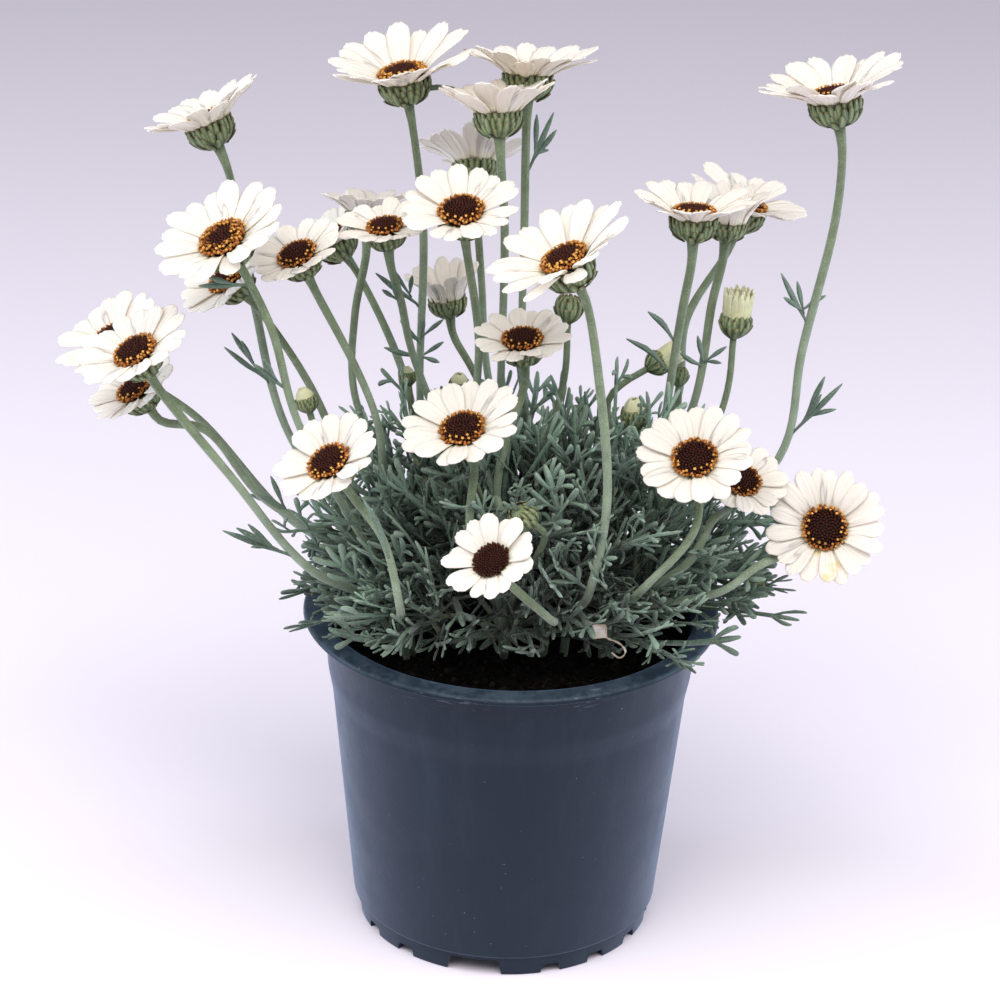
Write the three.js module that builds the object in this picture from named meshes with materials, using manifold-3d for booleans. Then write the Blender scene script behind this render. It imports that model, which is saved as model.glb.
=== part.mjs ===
// Potted Moroccan daisy: a black nursery pot of peat with a cushion of finely cut grey-green leaves, and white
// daisies with dark middles on long felted stems.
// Millimetres, +Z up. The origin is under the middle of the whole plant, at the surface that the pot stands on. The
// front is -Y. Its pieces are laid out round the pot's own axis, which POT_AXIS then places.
import * as THREE from "three";
import { mergeVertices } from "three/addons/utils/BufferGeometryUtils.js";
import Module from "manifold-3d";

const wasm = await Module();
wasm.setup();

// The flowers lean to the left, so the pot stands to the right of the middle.
const POT_AXIS = new THREE.Vector3(16, 1.5, 0);

// Driving sizes of the pot
const LIP_RADIUS = 65;
const POT_HEIGHT = 106.5;
const FOOT_RADIUS = 46.5;
const FOOT_RING_HEIGHT = 6.5;
const WALL = 1.3;
const POT_SIDES = 36;
const NOTCHES_AT = [-101, 19, 139];
const SMALL_NOTCHES_FROM_LARGE = [30, 50, 70, 90];

// Driving sizes of the soil
const GAP = 0.3;
const SOIL_TOP = 98;
const SOIL_LUMPS = 1.4;
const HOLE_GAP = 0.35;
const CROWN_DEPTH = 22;

// Driving sizes of the plant
const CORE = { radius: 8.5, height: 46, middle: 125, spread: 1.15 };
const CUSHION = { middle: new THREE.Vector3(4, -4, 122), radius: 77, height: 66 };
const LOWEST_LEAF = 100;
const LONGEST_LEAF = 46;
const LEAF_TRIES = 60;
const LEAF_THICKNESS = 0.7;
const LEAVES = 62;
const PETAL_THICKNESS = 0.7;
const STEM_RADIUS = 1.4;
const STEM_SIDES = 5;
const STEM_STEPS = 3;
const CUP_RADIUS = 7.2;
const CUP_HEIGHT = 8;
const DISC_RADIUS = 6.9;
const DISC_HEIGHT = 3.2;
const HUB_RADIUS = 5.2;
const CLEARANCE = 0.5;
const SMALLEST_EDGE = 0.02;

const UP = new THREE.Vector3(0, 0, 1);

// Leafy clumps: where each one's crown stands in the soil
const CLUMPS = {
  front_left: [-30, -18],
  left: [-38, 8],
  back_left: [-24, 32],
  middle: [-4, 8],
  front: [-2, -21],
  back: [10, 38],
  front_right: [28, -18],
  right: [38, 4],
  back_right: [28, 30],
};

// Flowers: the clump that each grows from, the middle of its disc, how far it leans from upright and towards where
// in degrees, its width, its petals, and the points that its stem passes on the way up. A flower's rise is how
// steeply its petals stand, and a covered one hides its florets among its petals.
const FLOWERS = [
  { clump: "left", at: [-98, 26, 256], lean: 25, toward: 162, across: 39, petals: 13, covered: true,
    via: [[-71, 12, 159], [-82, 34, 190], [-87, 36, 218]] },
  { clump: "front_left", at: [-88, -15, 231], lean: 31, toward: 217, across: 43, petals: 13,
    via: [[-65, -22, 175], [-73, -18, 203]] },
  { clump: "left", at: [-90, 17, 207], lean: 41, toward: 202, across: 33, petals: 11,
    via: [[-62, 12, 170], [-74, 14, 196]] },
  { clump: "left", at: [-67, -4, 223], lean: 27, toward: 218, across: 29, petals: 11,
    via: [[-42, -6, 169], [-58, -4, 203]] },
  { clump: "back_left", at: [-37, 24, 272], lean: 7, toward: 218, across: 44, petals: 13,
    via: [[-30, 20, 169], [-30, 32, 218]] },
  { clump: "back", at: [1, 34, 270], lean: 7, toward: 86, across: 41, petals: 13,
    via: [[2, 22, 169], [1, 32, 221]] },
  { clump: "middle", at: [-8, 12, 265], lean: 16, toward: 107, across: 36, petals: 11, covered: true,
    via: [[-5, 8, 174], [-5, 14, 225]] },
  { clump: "back", at: [-15, 66, 230], lean: 36, toward: 96, across: 35, petals: 10, covered: true,
    via: [[-8, 40, 161], [-12, 56, 193]] },
  { clump: "back_left", at: [-60, 56, 207], lean: 34, toward: 180, across: 32, petals: 10, covered: true,
    via: [[-35, 38, 165], [-45, 48, 188]] },
  { clump: "middle", at: [-41, 4, 230], lean: 11, toward: 225, across: 29, petals: 11,
    via: [[-32, 14, 183], [-36, 10, 203]] },
  { clump: "front", at: [-18, -10, 240], lean: 20, toward: 250, across: 36, petals: 12,
    via: [[-4, -28, 150], [-12, -10, 166], [-12, 0, 195]] },
  { clump: "front", at: [12, -38, 236], lean: 27, toward: 198, across: 43, petals: 14,
    via: [[23, -50, 136], [27, -48, 164], [23, -42, 203]] },
  { clump: "back", at: [-23, 40, 195], lean: 11, toward: 165, across: 22, petals: 8, rise: 68, covered: true,
    via: [[-14, 34, 171]] },
  { clump: "front", at: [1, -12, 201], lean: 11, toward: 244, across: 30, petals: 12,
    via: [[-5, -24, 161], [3, -14, 184]] },
  { clump: "front", at: [-16, -42, 184], lean: 25, toward: 236, across: 36, petals: 13,
    via: [[-13, -48, 155], [-19, -44, 171]] },
  { clump: "front_left", at: [-55, -48, 175], lean: 33, toward: 218, across: 34, petals: 12,
    via: [[-33, -58, 133], [-38, -54, 152]] },
  { clump: "front", at: [-7, -72, 156], lean: 40, toward: 234, across: 28, petals: 12,
    via: [[11, -62, 132], [2, -68, 145]] },
  { clump: "front_left", at: [-114, -20, 197], lean: 29, toward: 213, across: 36, petals: 11,
    via: [[-61, -34, 133], [-85, -26, 159]] },
  { clump: "left", at: [-128, 34, 179], lean: 31, toward: 209, across: 36, petals: 10, covered: true,
    via: [[-70, 20, 124], [-99, 26, 155]] },
  { clump: "left", at: [-117, 2, 176], lean: 34, toward: 202, across: 30, petals: 10,
    via: [[-78, 4, 139], [-95, 2, 162]] },
  { clump: "right", at: [51, 0, 238], lean: 7, toward: 230, across: 36, petals: 12,
    via: [[46, 2, 176], [49, 0, 206]] },
  { clump: "back_right", at: [70, 54, 222], lean: 15, toward: 0, across: 38, petals: 11,
    via: [[50, 24, 167], [52, 34, 189], [60, 44, 205]] },
  { clump: "right", at: [91, 10, 272], lean: 13, toward: 156, across: 44, petals: 13,
    via: [[81, 0, 159], [86, 4, 192], [94, 8, 234]] },
  { clump: "front_right", at: [52, -46, 178], lean: 34, toward: 254, across: 35, petals: 13,
    via: [[38, -50, 136], [53, -46, 154]] },
  { clump: "front_right", at: [68, -26, 163], lean: 30, toward: 295, across: 28, petals: 11,
    via: [[53, -38, 141], [59, -32, 151]] },
  { clump: "front_right", at: [93, -30, 149], lean: 51, toward: 263, across: 37, petals: 14,
    via: [[63, -40, 132], [74, -36, 139]] },
  { clump: "back_left", at: [-48, 40, 223], lean: 5, toward: 194, across: 29, petals: 9, covered: true,
    via: [[-50, 22, 165], [-51, 34, 188]] },
  { clump: "back_right", at: [63, 26, 228], lean: 4, toward: 24, across: 23, petals: 8, rise: 66, covered: true,
    via: [[54, 10, 170], [59, 18, 202]] },
];

// Buds: the clump, the middle, the width and the points that the stalk passes
const BUDS = [
  { clump: "middle", at: [15, 8, 202], across: 8, via: [[14, 4, 179]] },
  { clump: "right", at: [66, 12, 198], across: 10, via: [[64, 10, 173]] },
  { clump: "right", at: [43, 14, 183], across: 7.4, via: [[28, 8, 172], [32, 10, 177]] },
  { clump: "back_right", at: [50, 20, 176], across: 5.6, via: [[50, 18, 167]] },
  { clump: "right", at: [36, -4, 173], across: 7.3, via: [[37, -4, 165]] },
  { clump: "front", at: [3, -50, 159], across: 7.9, via: [[9, -46, 152]] },
  { clump: "back_left", at: [-34, 24, 174], across: 4.6, via: [[-33, 22, 167]] },
  { clump: "left", at: [-64, 0, 174], across: 5.5, via: [[-62, 0, 167]] },
  { clump: "back_left", at: [-18, 26, 171], across: 6.2, via: [[-18, 27, 163]] },
  { clump: "front_right", at: [74, -20, 124], across: 6.1, via: [[68, -20, 119]] },
];

// Small leaves on the flower stems: the flower, the height of the joint, the way from it to the tip, and the width
const STEM_LEAVES = [
  { flower: 0, height: 176, reach: [-11, -3, 14], width: 9 },
  { flower: 1, height: 214, reach: [-15, -4, 1], width: 4 },
  { flower: 5, height: 244, reach: [8, 1, 16], width: 8 },
  { flower: 9, height: 200, reach: [-3, -5, 10], width: 8 },
  { flower: 22, height: 165, reach: [15, 0, 19], width: 9 },
  { flower: 22, height: 199, reach: [-9, -2, 18], width: 8 },
  { flower: 4, height: 188, reach: [-6, -6, 12], width: 7 },
  { flower: 20, height: 186, reach: [-9, -3, 13], width: 6 },
];

// A repeatable stream of numbers between 0 and 1.
function randomStream(seed) {
  let state = seed;
  return () => {
    state = (state + 0x6d2b79f5) | 0;
    let mixed = Math.imul(state ^ (state >>> 15), 1 | state);
    mixed = (mixed + Math.imul(mixed ^ (mixed >>> 7), 61 | mixed)) ^ mixed;
    return ((mixed ^ (mixed >>> 14)) >>> 0) / 4294967296;
  };
}

// A closed geometry as a solid that can be joined and cut.
function toSolid(geometry) {
  const bare = geometry.index ? geometry.toNonIndexed() : geometry.clone();
  bare.deleteAttribute("normal");
  bare.deleteAttribute("uv");
  const merged = mergeVertices(bare, 1e-3);
  const triVerts = new Uint32Array(merged.index.array);
  return new wasm.Manifold(
    new wasm.Mesh({ numProp: 3, vertProperties: merged.attributes.position.array, triVerts }),
  );
}

// A solid as a geometry, without the tiny edges that joining leaves.
function toGeometry(solid) {
  const mesh = solid.simplify(SMALLEST_EDGE).getMesh();
  const geometry = new THREE.BufferGeometry();
  geometry.setAttribute("position", new THREE.BufferAttribute(new Float32Array(mesh.vertProperties), 3));
  geometry.setIndex(new THREE.BufferAttribute(new Uint32Array(mesh.triVerts), 1));
  return geometry;
}

// Points and faces as a geometry.
function fromPoints(points, index) {
  const geometry = new THREE.BufferGeometry().setFromPoints(points);
  geometry.setIndex(index);
  return geometry;
}

// A closed body through rings of points, anticlockwise seen from its end. A ring has as many points as the one
// before it, or twice as many.
function ringBody(rings) {
  const points = rings.flat();
  const index = [];
  let start = 0;
  rings.slice(0, -1).forEach((ring, level) => {
    const count = ring.length;
    const next = start + count;
    const step = rings[level + 1].length / count;
    for (let i = 0; i < count; i++) {
      const [a, b] = [start + i, start + ((i + 1) % count)];
      const [c, d] = [next + step * i, next + step * ((i + 1) % count)];
      if (step === 2) index.push(a, c + 1, c, a, b, c + 1, b, d, c + 1);
      else index.push(a, b, d, a, d, c);
    }
    start = next;
  });
  addCap(points, index, rings[0], 0, true);
  addCap(points, index, rings[rings.length - 1], start, false);
  return fromPoints(points, index);
}

// A fan of faces over a ring of points.
function addCap(points, index, ring, start, facesDown) {
  const middle = new THREE.Vector3();
  ring.forEach((point) => middle.addScaledVector(point, 1 / ring.length));
  const hub = points.push(middle) - 1;
  ring.forEach((_, i) => {
    const [a, b] = [start + i, start + ((i + 1) % ring.length)];
    index.push(...(facesDown ? [hub, b, a] : [hub, a, b]));
  });
}

// A closed thin body between two alike sheets of points, with a wall round their rim.
function sheetBody(top, bottom, faces, rim) {
  const count = top.length;
  const index = [];
  for (const [a, b, c] of faces) index.push(a, b, c, count + a, count + c, count + b);
  rim.forEach((a, i) => {
    const b = rim[(i + 1) % rim.length];
    index.push(a, count + a, count + b, a, count + b, b);
  });
  return fromPoints([...top, ...bottom], index);
}

// A level ring of points round a middle, in the plane of two directions.
function ringAt(middle, right, ahead, radius, count, stagger = () => 1, turn = 0) {
  return Array.from({ length: count }, (_, i) => {
    const angle = (2 * Math.PI * i) / count + turn;
    const reach = radius * stagger(i);
    return middle
      .clone()
      .addScaledVector(right, reach * Math.cos(angle))
      .addScaledVector(ahead, reach * Math.sin(angle));
  });
}

// The pot: a turned wall with a rolled lip, a collar and a raised floor, cut by the drain notches and holes.
function potSolid() {
  const floor = FOOT_RING_HEIGHT + 1;
  const collarFoot = 86;
  const stepFoot = 79;
  const lipFoot = POT_HEIGHT - 2.4;
  const profile = [
    [0, FOOT_RING_HEIGHT - 0.8],
    [FOOT_RADIUS - 2.4, FOOT_RING_HEIGHT - 0.8],
    [FOOT_RADIUS - 2.4, 0],
    [FOOT_RADIUS, 0],
    [FOOT_RADIUS + 0.6, FOOT_RING_HEIGHT],
    [FOOT_RADIUS + 1.9, FOOT_RING_HEIGHT + 0.6],
    [55.6, stepFoot],
    [57, collarFoot],
    [58.5, lipFoot],
    [LIP_RADIUS, lipFoot],
    [LIP_RADIUS - 1.2, POT_HEIGHT - 0.4],
    [58.6, POT_HEIGHT],
    [57.2, POT_HEIGHT - 2],
    [57 - WALL, collarFoot],
    [55.6 - WALL, stepFoot],
    [FOOT_RADIUS + 1.9 - WALL, floor],
    [0, floor],
  ];
  let pot = toSolid(
    new THREE.LatheGeometry(profile.map(([r, z]) => new THREE.Vector2(r, z)), POT_SIDES).rotateX(Math.PI / 2),
  );
  for (const degrees of NOTCHES_AT) {
    pot = pot.subtract(notch(degrees, 17, FOOT_RING_HEIGHT - 1.2));
    for (const further of SMALL_NOTCHES_FROM_LARGE) pot = pot.subtract(notch(degrees + further, 6.5, 3));
    pot = pot.subtract(drainHole(degrees + 60, 30));
  }
  return pot.subtract(drainHole(0, 0));
}

// A block that cuts one notch through the foot ring.
function notch(degrees, width, height) {
  const block = new THREE.BoxGeometry(12, width, 2 * height);
  block.translate(FOOT_RADIUS, 0, 0).rotateZ(THREE.MathUtils.degToRad(degrees));
  return toSolid(block);
}

// A drain hole through the raised floor.
function drainHole(degrees, fromAxis) {
  const bar = new THREE.CylinderGeometry(4, 4, 12, 8).rotateX(Math.PI / 2);
  bar.translate(fromAxis, 0, FOOT_RING_HEIGHT).rotateZ(THREE.MathUtils.degToRad(degrees));
  return toSolid(bar);
}

// The soil: it fills the pot, has a lumpy top and a plain hole for each crown.
function soilSolid() {
  const random = randomStream(11);
  const sides = 18;
  const ring = (radius, height, lumps) =>
    ringAt(new THREE.Vector3(0, 0, height), new THREE.Vector3(1, 0, 0), new THREE.Vector3(0, 1, 0), radius, sides)
      .map((point) => point.setZ(height + lumps * (random() - 0.5)));
  const wallAt = (height) => FOOT_RADIUS + 1.9 - WALL + ((height - FOOT_RING_HEIGHT) * 7.2) / 72.5;
  const flat = Math.cos(Math.PI / POT_SIDES) * Math.cos(Math.PI / sides);
  const rings = [
    ring((wallAt(8.5) - 2 * GAP) * flat, FOOT_RING_HEIGHT + 1.4 + GAP, 0),
    ring((wallAt(78) - 2 * GAP) * flat, 78, 0),
    ring((wallAt(94) - GAP) * flat - 0.4, SOIL_TOP - 2, SOIL_LUMPS),
    ring(47, SOIL_TOP, SOIL_LUMPS),
    ring(33, SOIL_TOP + 0.6, SOIL_LUMPS),
    ring(17, SOIL_TOP + 0.8, SOIL_LUMPS),
  ];
  let soil = toSolid(ringBody(rings));
  for (const [x, y] of Object.values(CLUMPS)) soil = soil.subtract(toSolid(crown(x, y, HOLE_GAP)));
  return soil;
}

// The woody crown of a clump, from the bottom of its hole to just above the soil. With room it is the hole.
function crown(x, y, room) {
  const below = SOIL_TOP - CROWN_DEPTH;
  const above = SOIL_TOP + 9;
  const body = new THREE.CylinderGeometry(3.4 + room, 2.6 + room, above - below + room, 6, 1);
  return body.rotateX(Math.PI / 2).translate(x, y, (above + below - room) / 2);
}

// The dense middle of a clump, which its leaves stand out of.
function clumpCore(x, y) {
  const core = new THREE.IcosahedronGeometry(1, 0).scale(CORE.radius, CORE.radius, CORE.height / 2);
  return core.translate(x * CORE.spread, y * CORE.spread, CORE.middle);
}

// The place and turn of a flower's own frame: its origin in the middle of its cup's brim, its axis along its face.
function flowerFrame(flower) {
  const [tilt, turn] = [THREE.MathUtils.degToRad(flower.lean), THREE.MathUtils.degToRad(flower.toward)];
  const level = new THREE.Vector3(Math.cos(turn), Math.sin(turn), 0);
  const face = level.multiplyScalar(Math.sin(tilt)).setZ(Math.cos(tilt));
  const origin = new THREE.Vector3(...flower.at).addScaledVector(face, -DISC_HEIGHT);
  const turned = new THREE.Quaternion().setFromUnitVectors(UP, face);
  return new THREE.Matrix4().compose(origin, turned, new THREE.Vector3(1, 1, 1));
}

// A curve through points, each given as three numbers or as a vector.
function curveThrough(points) {
  const vectors = points.map((point) => (point.isVector3 ? point : new THREE.Vector3(...point)));
  return new THREE.CatmullRomCurve3(vectors, false, "centripetal");
}

// Rings of a stalk that follows a curve from its root to its top.
function stalkRings(curve, radius, steps) {
  const { normals, binormals } = curve.computeFrenetFrames(steps, false);
  const rings = normals.map((normal, i) =>
    ringAt(curve.getPointAt(i / steps), normal, binormals[i], radius, STEM_SIDES));
  return { rings, right: normals[steps], ahead: binormals[steps] };
}

// The root of a stalk inside its clump's crown.
function rootOf(clump) {
  const [x, y] = CLUMPS[clump];
  return [[x, y, SOIL_TOP + 3], [x * 1.1, y * 1.1, SOIL_TOP + 14]];
}

// A point on a flower's axis, above or below the brim of its cup.
function onAxis(flower, height) {
  return new THREE.Vector3(0, 0, height).applyMatrix4(flowerFrame(flower));
}

// The way of a flower's stem, from the crown to the neck under its cup.
function stemCurve(flower) {
  const neck = [onAxis(flower, -CUP_HEIGHT - 14), onAxis(flower, -CUP_HEIGHT - 3)];
  return curveThrough([...rootOf(flower.clump), ...flower.via, ...neck]);
}

// A flower's stem, its widened neck and its cup of overlapping bracts, as one body.
function stemBody(flower) {
  const { rings, right, ahead } = stalkRings(stemCurve(flower), STEM_RADIUS, STEM_STEPS + flower.via.length);
  const size = flower.across < 28 ? 0.85 : 1;
  const bracts = (i) => (i % 2 ? 1.06 : 0.93);
  const staggered = (i) => (i % 2 ? 0.94 : 1.05);
  const count = 2 * STEM_SIDES;
  rings.push(ringAt(onAxis(flower, -CUP_HEIGHT), right, ahead, STEM_RADIUS * 1.5, STEM_SIDES));
  rings.push(ringAt(onAxis(flower, -CUP_HEIGHT * 0.62), right, ahead, CUP_RADIUS * 0.82 * size, count, bracts));
  rings.push(ringAt(onAxis(flower, 0), right, ahead, CUP_RADIUS * size, count, staggered));
  return ringBody(rings);
}

// A bud: a stalk that ends in a closed green knob of scales.
function budBody({ clump, at, across, via }) {
  const middle = new THREE.Vector3(...at);
  const below = new THREE.Vector3(...via[via.length - 1]);
  const axis = middle.clone().sub(below).normalize();
  const half = across / 2;
  const foot = middle.clone().addScaledVector(axis, -half);
  const curve = curveThrough([...rootOf(clump), ...via, foot]);
  const { rings, right, ahead } = stalkRings(curve, STEM_RADIUS * 0.85, STEM_STEPS + 1);
  const scales = (i) => (i % 2 ? 1.08 : 0.92);
  const level = (reach, radius, count) =>
    ringAt(middle.clone().addScaledVector(axis, reach * half), right, ahead, radius * half, count, scales);
  rings.push(level(-0.4, 0.95, 2 * STEM_SIDES));
  rings.push(level(0.8, 0.8, 2 * STEM_SIDES));
  return ringBody(rings);
}

// A corolla: a thin sheet that is flat in the middle and rises outwards, cut into petals from its edge. A covered
// one has its florets as a knob in the middle.
function corollaGeometry(flower, seed) {
  const random = randomStream(seed);
  const { petals, across } = flower;
  const rise = THREE.MathUtils.degToRad(flower.rise ?? 20);
  const reach = HUB_RADIUS + (across / 2 - HUB_RADIUS) / (flower.rise ? 1 : Math.cos(rise));
  const outward = (angle) => new THREE.Vector3(Math.cos(angle), Math.sin(angle), 0);
  const onSheet = (angle, radius, lift) =>
    outward(angle)
      .multiplyScalar(HUB_RADIUS + (radius - HUB_RADIUS) * Math.cos(rise))
      .setZ(GAP + PETAL_THICKNESS + (radius - HUB_RADIUS) * Math.sin(rise) + lift);
  const top = [new THREE.Vector3(0, 0, GAP + PETAL_THICKNESS)];
  const bottom = [new THREE.Vector3(0, 0, GAP)];
  const faces = [];
  const rim = [];
  const addPair = (angle, radius, lift, tilt) => {
    const point = onSheet(angle, radius, lift);
    top.push(point);
    const under = outward(angle).multiplyScalar(Math.sin(tilt)).setZ(-Math.cos(tilt));
    bottom.push(point.clone().addScaledVector(under, PETAL_THICKNESS));
    return top.length - 1;
  };
  const pitch = (2 * Math.PI) / petals;
  const hub = Array.from({ length: petals }, (_, k) => addPair(k * pitch, HUB_RADIUS, 0, 0));
  hub.forEach((inner, k) => {
    const nextInner = hub[(k + 1) % petals];
    faces.push([0, inner, nextInner]);
    const length = reach * (0.93 + 0.12 * random());
    const lift = (random() - 0.5) * 1.6;
    const notchIn = addPair((k + 0.02) * pitch, reach * 0.48, 0, rise);
    const left = addPair((k + 0.2) * pitch, length * 0.97, lift, rise);
    const right = addPair((k + 0.8) * pitch, length, lift, rise);
    const nextNotch = k === petals - 1 ? hub[petals - 1] + 1 : right + 1;
    faces.push([inner, notchIn, left], [inner, left, nextInner], [nextInner, left, right]);
    faces.push([nextInner, right, nextNotch]);
    rim.push(notchIn, left, right);
  });
  return sheetBody(top, bottom, faces, rim);
}

// The florets of an open flower: a dome with a raised pattern.
function discGeometry(flower) {
  const size = flower.across > 33 ? 1 : 0.88;
  const base = GAP + PETAL_THICKNESS + GAP;
  const right = new THREE.Vector3(1, 0, 0);
  const ahead = new THREE.Vector3(0, 1, 0);
  const level = (height, radius, bumps, turn) =>
    ringAt(new THREE.Vector3(0, 0, base + height), right, ahead, radius * size, 9, bumps, turn);
  const bumps = (i) => (i % 2 ? 1.05 : 0.95);
  return ringBody([
    level(0, HUB_RADIUS - 0.5, () => 1, 0),
    level(DISC_HEIGHT * 0.55, DISC_RADIUS, bumps, 0.1),
    level(DISC_HEIGHT, DISC_RADIUS * 0.55, bumps, 0.3),
  ]);
}

// A knob of florets that joins the corolla of a flower whose middle is covered.
function floretKnob() {
  const knob = new THREE.IcosahedronGeometry(HUB_RADIUS * 0.8, 0).scale(1, 1, 0.45);
  return knob.translate(0, 0, GAP + PETAL_THICKNESS + 1.5);
}

// A leaf: one thin arched blade, cut to the rib into pointed lobes on both sides and one at its end.
function leafBody({ root, along, normal, length, width, droop, extra = 0 }) {
  const side = new THREE.Vector3().crossVectors(along, normal).normalize();
  const outline = [
    [0.07, 0],
    [0.06, 0.4],
    [0.42, 0.72],
    [0.08, 0.6],
    [0.36, 0.95],
    [0.08, 0.78],
  ];
  const spread = [
    ...outline,
    [0, 1.04],
    ...outline.map(([out, ahead]) => [-out, ahead]).reverse(),
  ];
  const place = ([out, ahead], level) => {
    const bend = droop * ahead * ahead;
    return root
      .clone()
      .addScaledVector(along, ahead * length * (1 - 0.25 * droop * droop))
      .addScaledVector(side, out * width)
      .addScaledVector(normal, -bend * length * 0.5 + level * (LEAF_THICKNESS / 2 + extra))
      .addScaledVector(along, level * droop * ahead * (LEAF_THICKNESS / 2 + extra));
  };
  const last = spread.length - 1;
  const faces = [];
  for (const step of [0, 1, 3]) {
    const next = step + (step === 0 ? 1 : 2);
    faces.push([step, next, last - next], [step, last - next, last - step]);
    if (step > 0) {
      faces.push([step, step + 1, next]);
      faces.push([last - next, last - step - 1, last - step]);
    }
  }
  faces.push([5, 6, 7]);
  const top = spread.map((point) => place(point, 1));
  const bottom = spread.map((point) => place(point, -1));
  return sheetBody(top, bottom, faces, spread.map((_, i) => i));
}

// A small leaf that stands on a flower's stem at a height.
function stemLeafBody({ flower, height, reach, width }) {
  const points = stemCurve(FLOWERS[flower]).getSpacedPoints(STEM_STEPS + FLOWERS[flower].via.length);
  const above = points.findIndex((point) => point.z > height);
  const [low, high] = [points[above - 1], points[above]];
  const root = low.clone().lerp(high, (height - low.z) / (high.z - low.z));
  const along = new THREE.Vector3(...reach);
  const length = along.length();
  along.normalize();
  const normal = new THREE.Vector3(0, -0.8, 0.6);
  normal.addScaledVector(along, -normal.dot(along)).normalize();
  return leafBody({ root, along, normal, length, width: width * 1.2, droop: 0.2 });
}

// Solids that are in place, with the node each belongs to, so that later leaves keep clear of them.
const placed = [];

function boxOf(solid) {
  const { min, max } = solid.boundingBox();
  return new THREE.Box3(new THREE.Vector3(...min), new THREE.Vector3(...max));
}

function place(node, solid, kind) {
  placed.push({ node, solid, kind, box: boxOf(solid) });
  return solid;
}

// Whether a solid is clear of all other nodes, and of the other leaves of its own.
function isClear(node, solid) {
  const box = boxOf(solid);
  return placed.every(
    (other) =>
      (other.node === node && other.kind !== "leaf") ||
      !other.box.intersectsBox(box) ||
      other.solid.intersect(solid).isEmpty(),
  );
}

// The leaves: their tips are spread evenly over the cushion, and each grows from the core of the nearest clump. It is
// drawn again, a little otherwise, until it is clear of what is in place.
function growLeaves(clumpParts) {
  const random = randomStream(500);
  const goldenAngle = Math.PI * (3 - Math.sqrt(5));
  for (let i = 0; i < LEAVES; i++) {
    for (let tries = 0; tries < LEAF_TRIES; tries++) {
      const height = 0.98 - ((1.33 * (i + 0.5)) / LEAVES) + 0.12 * (random() - 0.5);
      const turn = i * goldenAngle + 0.35 * (random() - 0.5);
      const level = Math.sqrt(Math.max(0, 1 - height * height));
      const reach = 1.02 - 0.16 * random();
      const tip = new THREE.Vector3(
        CUSHION.radius * level * Math.cos(turn),
        CUSHION.radius * level * Math.sin(turn),
        CUSHION.height * height,
      );
      tip.multiplyScalar(reach).add(CUSHION.middle);
      const name = nearestClump(tip);
      const leaf = drawLeaf(name, tip, random);
      if (!leaf) continue;
      clumpParts[name].push(place("clump_" + name, leaf, "leaf"));
      break;
    }
  }
}

// One leaf from a clump's core to a tip, or nothing if it would touch what is in place.
function drawLeaf(name, tip, random) {
  const [x, y] = CLUMPS[name];
  const rootHeight = THREE.MathUtils.clamp(tip.z - 12, CORE.middle - 12, CORE.middle + 14);
  const root = new THREE.Vector3(x * CORE.spread, y * CORE.spread, rootHeight);
  const along = tip.clone().sub(root);
  const level = new THREE.Vector3().crossVectors(along, UP).normalize();
  root.addScaledVector(new THREE.Vector3(along.x, along.y, 0).normalize(), CORE.radius * 0.15);
  along.subVectors(tip, root);
  const length = along.length();
  along.normalize();
  const normal = new THREE.Vector3().crossVectors(level, along);
  normal.applyAxisAngle(along, (random() - 0.5) * 1.8);
  const shape = { root, along, normal, length, width: 17 + 6 * random(), droop: 0.15 + 0.5 * random() };
  const roomy = toSolid(leafBody({ ...shape, length: length + 1, width: shape.width + 1, extra: CLEARANCE }));
  const lowest = boxOf(roomy).min.z;
  if (length > LONGEST_LEAF || lowest < LOWEST_LEAF || !isClear("clump_" + name, roomy)) return null;
  return toSolid(leafBody(shape));
}

// The clump whose crown stands nearest below a point.
function nearestClump(point) {
  const distance = ([x, y]) => Math.hypot(point.x * 0.55 - x, point.y * 0.55 - y);
  const byDistance = Object.keys(CLUMPS).sort((a, b) => distance(CLUMPS[a]) - distance(CLUMPS[b]));
  return byDistance[0];
}

const FINISHES = {
  pot: new THREE.MeshStandardMaterial({ color: 0x2e3641, roughness: 0.45, metalness: 0 }),
  soil: new THREE.MeshStandardMaterial({ color: 0x231b16, roughness: 0.95, metalness: 0 }),
  leaf: new THREE.MeshStandardMaterial({ color: 0x74896f, roughness: 0.85, metalness: 0 }),
  petal: new THREE.MeshStandardMaterial({ color: 0xf6f3ea, roughness: 0.6, metalness: 0 }),
  disc: new THREE.MeshStandardMaterial({ color: 0x5a2a1c, roughness: 0.8, metalness: 0 }),
};

const pottedDaisy = new THREE.Group();
pottedDaisy.position.copy(POT_AXIS);

function addNode(name, geometry, finish) {
  const mesh = new THREE.Mesh(geometry, FINISHES[finish]);
  mesh.name = name;
  pottedDaisy.add(mesh);
  return mesh;
}

addNode("pot", toGeometry(potSolid()), "pot");
place("pot", toSolid(pottedDaisy.getObjectByName("pot").geometry), "pot");
addNode("soil", toGeometry(soilSolid()), "soil");

// Flowers: each corolla and each open flower's florets are a node of their own, turned into place.
FLOWERS.forEach((flower, i) => {
  const number = String(i + 1).padStart(2, "0");
  const frame = flowerFrame(flower);
  const sheet = corollaGeometry(flower, 100 + i);
  const corolla = flower.covered ? toGeometry(toSolid(sheet).add(toSolid(floretKnob()))) : sheet;
  const petals = addNode("petals_" + number, corolla, "petal");
  petals.applyMatrix4(frame);
  place("petals_" + number, toSolid(corolla.clone().applyMatrix4(frame)), "petals");
  if (flower.covered) return;
  const florets = addNode("florets_" + number, discGeometry(flower), "disc");
  florets.applyMatrix4(frame);
});

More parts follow.
